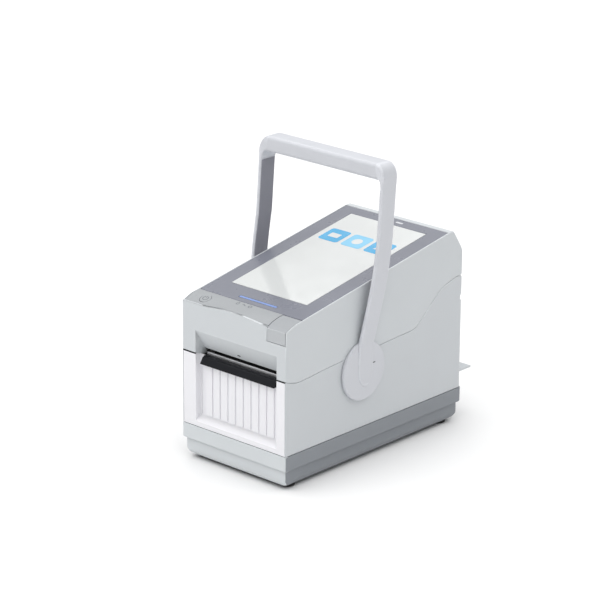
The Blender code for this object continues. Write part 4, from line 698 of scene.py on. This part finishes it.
def lit_panel(name, first, second, gloss=0.12):
    """Part of the lit picture behind polished glass: large soft blotches in its colour are painted reflection,
    with faint finger smears.
    """
    made = bpy.data.materials.new(name)
    made.use_nodes = True
    tree = made.node_tree
    shader = tree.nodes["Principled BSDF"]
    # Large soft blotches in the colour are painted reflection on the glass.
    reflection_blotches = spread(tree, noise(tree, 9.0, 1.0), 0.0, 1.0)
    tree.links.new(blend_colour(tree, reflection_blotches, first, second), shader.inputs["Base Color"])
    smears = spread(tree, noise(tree, 60.0, 5.0), gloss - 0.04, gloss + 0.06)
    tree.links.new(smears, shader.inputs["Roughness"])
    tree.links.new(bump(tree, noise(tree, 400.0), 0.002 * MM, 0.2), shader.inputs["Normal"])
    return made


screen_white = lit_panel("display_glass", (0.600, 0.615, 0.610), (0.585, 0.602, 0.600))
shell_of("screen_glass", "display_screen", screen_white, "cover", "display_glass", radius=0.2 * MM)

# The display's own plane, from the glass: its front edge, the way up the slope, and straight out of it.
corners = [vert.co.copy() for vert in frame["nodes"]["screen_glass"].data.vertices]
front_edge = min(corners, key=lambda place: place.y)
rear_edge = max(corners, key=lambda place: place.z)
upslope = Vector((0.0, rear_edge.y - front_edge.y, rear_edge.z - front_edge.z)).normalized()
outward = Vector((0.0, -upslope.z, upslope.y))
screen_turn = Matrix((
    (1, 0, 0, 0),
    (0, upslope.y, outward.y, front_edge.y),
    (0, upslope.z, outward.z, front_edge.z),
    (0, 0, 0, 1),
))
TILE_LIFT = 0.04 * MM


def picture(name, outline, level, finish):
    """A flat patch of the start page, drawn in (x, up the slope) and a hair above the glass."""
    bm = prism(outline, 2 * TILE_LIFT)
    lift = Matrix.Translation((0, 0, (level - 1) * TILE_LIFT))
    bmesh.ops.transform(bm, matrix=screen_turn @ lift, verts=bm.verts)
    return fit(piece_from(bm, name, finish, 30.0), "cover", "display_glass")


TILE_HALF = 11.0 * MM
TILE_ROUND = 3.0 * MM
TILE_ROW = 113.0 * MM
TILE_PITCH = 26.0 * MM
tile_blue = lit_panel("picture_blue", (0.030, 0.330, 0.600), (0.036, 0.360, 0.640))
tile_sky = lit_panel("picture_light_blue", (0.180, 0.500, 0.720), (0.200, 0.520, 0.740))
tiles = ((-TILE_PITCH, tile_blue), (0.0, tile_sky), (TILE_PITCH, tile_blue))
for i, (tile_x, finish) in enumerate(tiles):
    outline = rounded_outline(TILE_HALF, TILE_HALF, TILE_ROUND, 6, (tile_x, TILE_ROW))
    picture(f"page_tile_{i + 1}", outline, 1, finish)
    if i == 0:
        sign = rounded_outline(5.5 * MM, 3.6 * MM, 0.8 * MM, 4, (tile_x, TILE_ROW))
    elif i == 1:
        sign = [(tile_x + u, TILE_ROW + v) for u, v in arc_path((0.0, 0.0), 5.0 * MM, 0, 345, 24)]
    else:
        sign = [(tile_x + u * MM, TILE_ROW + v * MM) for u, v in ((-5, -4), (5, -4), (0, 5))]
    picture(f"page_sign_{i + 1}", sign, 2, screen_white)

LIGHT_BLUE = (0.190, 0.280, 0.560)


def light_material():
    """Frosted light guide, lit a soft blue."""
    made = bpy.data.materials.new("status_light")
    made.use_nodes = True
    tree = made.node_tree
    shader = tree.nodes["Principled BSDF"]
    glow = spread(tree, noise(tree, 45.0, 2.0), 0.0, 1.0)
    brighter = tuple(1.2 * part for part in LIGHT_BLUE)
    tree.links.new(blend_colour(tree, glow, LIGHT_BLUE, brighter), shader.inputs["Base Color"])
    tree.links.new(spread(tree, noise(tree, 500.0), 0.3, 0.42), shader.inputs["Roughness"])
    tree.links.new(bump(tree, noise(tree, 900.0), 0.01 * MM, 0.4), shader.inputs["Normal"])
    return made


shell_of("status_light_bar", "status_light", light_material(), "cover", "light_guide", radius=0.2 * MM)

# A small oblong window sits in the rear margin of the bezel. A light sensor behind it is a guess.
SENSOR_PLACE = (8.0 * MM, 160.0 * MM)
SENSOR_ROUND = 1.1 * MM
sensor = prism(rounded_outline(4.0 * MM, SENSOR_ROUND, SENSOR_ROUND, 8, SENSOR_PLACE), 0.3 * MM)
bmesh.ops.transform(sensor, matrix=screen_turn @ Matrix.Translation((0, 0, -0.15 * MM)), verts=sensor.verts)
sensor_window = lit_panel("sensor_window", (0.62, 0.63, 0.66), (0.58, 0.59, 0.62), 0.2)
fit(piece_from(sensor, "light_sensor_window", sensor_window, 30.0), "cover", "display_glass")

# ---------------------------------------------------------------- carry handle
# One tough moulding: a bar, two flat arms that splay out and lean back, and two round bosses that
# turn on bolts in the housing. Dark soft liners are bonded inside the arms.

HANDLE_GREY = (0.590, 0.603, 0.640)
ARM_THICK = 3.2 * MM
ARM_DEPTH = 18.5 * MM
ARM_ROUND = 1.45 * MM
BAR_HEIGHT = 14.2 * MM
BAR_ROUND = 3.6 * MM
CORNER_WIDE = 10.0 * MM
CORNER_TALL = 14.0 * MM
INNER_WIDE = 4.0 * MM
INNER_TALL = 7.0 * MM
BOSS_RADIUS = 26.3 * MM
BOSS_THICK = 2.8 * MM
BOSS_ROUND = 1.1 * MM
BOSS_GAP = 0.3 * MM
END_TALL = 14.0 * MM
SECTION_STEPS = 5

handle_low, handle_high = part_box("handle_frame")
pivot = Vector(next(joint for joint in frame["joints"] if joint["name"] == "handle_swing")["pos_m"])
handle_plastic = moulded("handle_plastic", HANDLE_GREY, 0.38)


def smooth_step(low, high, value):
    t = min(1.0, max(0.0, (value - low) / (high - low)))
    return t * t * (3 - 2 * t)


def arm_outer(z):
    """Distance of the arm's outer face from the middle, splaying out above the boss."""
    flush = side_x + BOSS_GAP + BOSS_THICK + 0.8 * MM
    splay = smooth_step(pivot.z + 8 * MM, pivot.z + 92 * MM, z) ** 0.8
    return flush + (handle_high.x - flush) * splay


def arm_middle(z):
    """Middle of the arm's depth: upright at the boss, then leaning back, then nearly upright again."""
    foot = pivot.z + 25 * MM
    bend = pivot.z + 110 * MM
    lean = 0.175 * (min(max(z, foot), bend) - foot)
    return pivot.y + 1.4 * MM + lean + 0.075 * max(0.0, z - bend)


def handle_section(outer, inner, middle_y, depth, radius):
    """Rounded section between the (x, z) places outer and inner, depth from front to rear."""
    out_point = Vector((outer[0], 0.0, outer[1]))
    in_point = Vector((inner[0], 0.0, inner[1]))
    centre = (out_point + in_point) / 2 + Vector((0.0, middle_y, 0.0))
    across = out_point - in_point
    half = across.length / 2
    across.normalize()
    flat = rounded_outline(half, depth / 2, min(radius, 0.95 * half, 0.45 * depth), SECTION_STEPS)
    return [centre + across * u + Vector((0.0, v, 0.0)) for u, v in flat]


def arm_section(z, depth=ARM_DEPTH):
    outer = arm_outer(z)
    return handle_section((outer, z), (outer - ARM_THICK, z), arm_middle(z), depth, ARM_ROUND)


def handle_half():
    """Sections of the right half: the rounded lower end, the arm, the corner and half the bar."""
    sections = []
    for i in range(1, 9):
        turn = math.radians(90 * i / 8)
        sections.append(arm_section(pivot.z - END_TALL * math.cos(turn), ARM_DEPTH * math.sin(turn)))
    inner_z = handle_high.z - BAR_HEIGHT - INNER_TALL
    steps = 36
    for i in range(1, steps + 1):
        sections.append(arm_section(pivot.z + (inner_z - 2 * MM - pivot.z) * i / steps))
    outer_z = handle_high.z - CORNER_TALL
    bends = 14
    for i in range(1, bends + 1):
        turn = math.radians(90 * i / bends)
        swing, rise = 1 - math.cos(turn), math.sin(turn)
        outer = (handle_high.x - CORNER_WIDE * swing, outer_z + CORNER_TALL * rise)
        inner = (handle_high.x - ARM_THICK - INNER_WIDE * swing, inner_z + INNER_TALL * rise)
        radius = ARM_ROUND + (BAR_ROUND - ARM_ROUND) * swing
        sections.append(handle_section(outer, inner, arm_middle(outer[1]), ARM_DEPTH, radius))
    top, low = (0.0, handle_high.z), (0.0, handle_high.z - BAR_HEIGHT)
    sections.append(handle_section(top, low, arm_middle(handle_high.z), ARM_DEPTH, BAR_ROUND))
    return sections


right_half = handle_half()
left_half = [[Vector((-p.x, p.y, p.z)) for p in ring] for ring in right_half[:-1]]
carry = lofted(right_half + left_half[::-1], "carry_handle", handle_plastic, 50.0)
# The handle's small rounded corner faces get the lighter edge colour: part handling polish, part painted
# highlight.
corner_rubbed_and_highlit = carry.data.attributes.new("rounded_edge", "FLOAT", "FACE")
CORNER_FACE = 15.0 * MM * MM
for face in carry.data.polygons:
    if face.area < CORNER_FACE and len(face.vertices) == 4:
        corner_rubbed_and_highlit.data[face.index].value = 1.0
fit(carry, "handle", "handle_plastic", "handle_frame")

# Each boss carries a short dark dash. What the real one marks isn't known.
DASH_BACK = 11.5 * MM
DASH_UP = 4.6 * MM
DASH_THICK = 0.3 * MM
boss_profile = [(0.0, 0.0), (BOSS_RADIUS - 0.4 * MM, 0.0), (BOSS_RADIUS, 0.4 * MM)]
for i in range(ROUND_STEPS + 1):
    turn = math.radians(90 * i / ROUND_STEPS)
    boss_profile.append((BOSS_RADIUS - BOSS_ROUND * (1 - math.cos(turn)),
                         BOSS_THICK - BOSS_ROUND * (1 - math.sin(turn))))
boss_profile.append((0.0, BOSS_THICK))
for side, side_name in ((-1, "left"), (1, "right")):
    inner_x = side * (side_x + BOSS_GAP)
    profile = [(radius, side * height) for radius, height in boss_profile]
    boss = turned(profile, f"handle_boss_{side_name}", handle_plastic, (inner_x, pivot.y, pivot.z), "X", 96)
    fit(boss, "handle", "handle_plastic")
    dash = prism(rounded_outline(2.2 * MM, 0.45 * MM, 0.45 * MM, 6), DASH_THICK)
    dash_x = inner_x + side * (BOSS_THICK - 0.1 * MM) - (DASH_THICK if side < 0 else 0.0)
    upright = Matrix((
        (0, 0, 1, dash_x),
        (1, 0, 0, pivot.y + DASH_BACK),
        (0, 1, 0, pivot.z + DASH_UP),
        (0, 0, 0, 1),
    ))
    bmesh.ops.transform(dash, matrix=upright, verts=dash.verts)
    fit(piece_from(dash, f"detent_mark_{side_name}", mark_ink, 30.0), "handle", "handle_plastic")

LINER_THICK = 0.5 * MM
LINER_MARGIN = 1.2 * MM
LINER_STEPS = 24
liner_plastic = moulded("liner_plastic", (0.262, 0.262, 0.300), 0.58, grain=1400.0)
liner_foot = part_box("handle_liner_right")[0].z
liner_top = handle_high.z - BAR_HEIGHT - INNER_TALL - 1.0 * MM
for side, side_name in ((-1, "left"), (1, "right")):
    rings = []
    for i in range(LINER_STEPS + 1):
        z = liner_foot + (liner_top - liner_foot) * i / LINER_STEPS
        inner = arm_outer(z) - ARM_THICK
        ring = handle_section((inner + 0.1 * MM, z), (inner - LINER_THICK, z), arm_middle(z),
                              ARM_DEPTH - 2 * LINER_MARGIN, 0.3 * MM)
        rings.append([Vector((side * p.x, p.y, p.z)) for p in ring])
    liner = lofted(rings, f"arm_liner_{side_name}", liner_plastic)
    fit(liner, "handle", "liner_plastic", f"handle_liner_{side_name}")

# ---------------------------------------------------------------- pieces inside and behind
# Everything that shows when the cover is open or from behind keeps its own finish.

zinc_plate = metal("zinc_plate", (0.52, 0.53, 0.55), 0.40)
heat_sink = metal("heat_sink", (0.74, 0.75, 0.76), 0.34)
acetal = moulded("white_acetal", (0.80, 0.79, 0.74), 0.38, grain=1800.0)
circuit_board = moulded("circuit_board", (0.02, 0.16, 0.08), 0.45, grain=1200.0)
battery_case = moulded("battery_case", (0.05, 0.055, 0.065), 0.55)
finishes = {
    "body_plastic": housing_plastic, "black_plastic": black_plastic, "black_rubber": rubber,
    "bright_steel": bright_steel, "zinc_plate": zinc_plate, "aluminium_heat_sink": heat_sink,
    "white_acetal": acetal, "circuit_board": circuit_board, "battery_case": battery_case,
}
slot_of = {row["node"]: row["material_slot"] for row in frame["record"]["subparts"]}
bodies = frame["record"]["behaviour"]["bodies"]

# The two coil springs over the print head each get a mesh of their own.
for body, nodes in bodies.items():
    for node in nodes:
        if not frame["nodes"][node].hide_render:
            slot = slot_of[node]
            made = shell_of(node, node + "_part", finishes[slot], body, slot, radius=0.2 * MM, segments=2)
            if node.startswith("head_spring"):
                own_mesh(made)

# ---------------------------------------------------------------- screws underneath
# Plated socket screws, two in front and two behind, are taken to hold the base tub to the housing.

SCREW_RADIUS = 2.8 * MM
SOCKET_RADIUS = 1.2 * MM
SCREW_X = 36.0 * MM
screw_profile = [(0.0, 0.7 * MM), (SOCKET_RADIUS, 0.7 * MM), (SOCKET_RADIUS, -0.2 * MM),
                 (SCREW_RADIUS - 0.4 * MM, -0.2 * MM), (SCREW_RADIUS, 0.2 * MM), (SCREW_RADIUS, 0.9 * MM),
                 (0.0, 0.9 * MM)]
screw = turned(screw_profile, "base_screw", zinc_plate, (0.0, 0.0, 0.0), "Z", 24)
screw.modifiers.clear()
collection.objects.unlink(screw)
screw_row = row_tree("base_screw_row", screw)
for end_name, screw_y in (("front", base_low.y + 46.0 * MM), ("rear", base_high.y - 40.0 * MM)):
    start = Vector((-SCREW_X, screw_y, base_low.z))
    repeated(f"base_screws_{end_name}", screw_row,
             {"Start": start, "Step": Vector((2 * SCREW_X, 0, 0)), "Count": 2, "Finish": zinc_plate},
             "printer", "zinc_plate")

# ---------------------------------------------------------------- floor, lights and camera
# A pale floor under soft studio light, seen from in front, from the right and from above.

floor_mesh = bpy.data.meshes.new("floor")
floor_bm = bmesh.new()
bmesh.ops.create_grid(floor_bm, x_segments=1, y_segments=1, size=6.0)
floor_bm.to_mesh(floor_mesh)
floor_bm.free()
floor = bpy.data.objects.new("floor", floor_mesh)
collection.objects.link(floor)
paper = bpy.data.materials.new("paper_floor")
paper.use_nodes = True
paper.node_tree.nodes["Principled BSDF"].inputs["Base Color"].default_value = (0.88, 0.88, 0.88, 1.0)
paper.node_tree.nodes["Principled BSDF"].inputs["Roughness"].default_value = 0.9
floor_mesh.materials.append(paper)


def soft_light(name, place, aim, size, power):
    lamp = bpy.data.lights.new(name, "AREA")
    lamp.shape = "SQUARE"
    lamp.size = size
    lamp.energy = power
    made = bpy.data.objects.new(name, lamp)
    collection.objects.link(made)
    made.location = place
    made.rotation_euler = (Vector(aim) - Vector(place)).to_track_quat("-Z", "Y").to_euler()


world = bpy.data.worlds.new("studio")
bpy.context.scene.world = world
world.use_nodes = True
world.node_tree.nodes["Background"].inputs["Color"].default_value = (1.0, 1.0, 1.0, 1.0)
world.node_tree.nodes["Background"].inputs["Strength"].default_value = 0.30
soft_light("key_light", (-0.5, -1.6, 1.6), (0.0, 0.0, 0.1), 1.2, 6.0)
soft_light("ceiling_light", (0.0, 0.0, 5.0), (0.0, 0.0, 0.0), 12.0, 700.0)

CAMERA_AIM = Vector((-15.86, -25.50, 126.88)) * MM
CAMERA_AZIMUTH = math.radians(42.365)
CAMERA_ELEVATION = math.radians(19.197)
CAMERA_ROLL = math.radians(0.378)
CAMERA_DISTANCE = 2394.3 * MM
CAMERA_LENS = 167.8

camera_data = bpy.data.cameras.new("camera")
camera_data.lens = CAMERA_LENS
camera_data.sensor_width = 36.0
camera_data.clip_start = 0.05
camera_data.clip_end = 30.0
camera = bpy.data.objects.new("camera", camera_data)
collection.objects.link(camera)
back = Vector((math.sin(CAMERA_AZIMUTH) * math.cos(CAMERA_ELEVATION),
               -math.cos(CAMERA_AZIMUTH) * math.cos(CAMERA_ELEVATION), math.sin(CAMERA_ELEVATION)))
camera.location = CAMERA_AIM + back * CAMERA_DISTANCE
camera.rotation_mode = "QUATERNION"
level = (-back).to_track_quat("-Z", "Y")
camera.rotation_quaternion = level @ Euler((0, 0, CAMERA_ROLL)).to_quaternion()
bpy.context.scene.camera = camera
bpy.context.scene.view_settings.view_transform = "Standard"
bpy.context.scene.view_settings.look = "None"
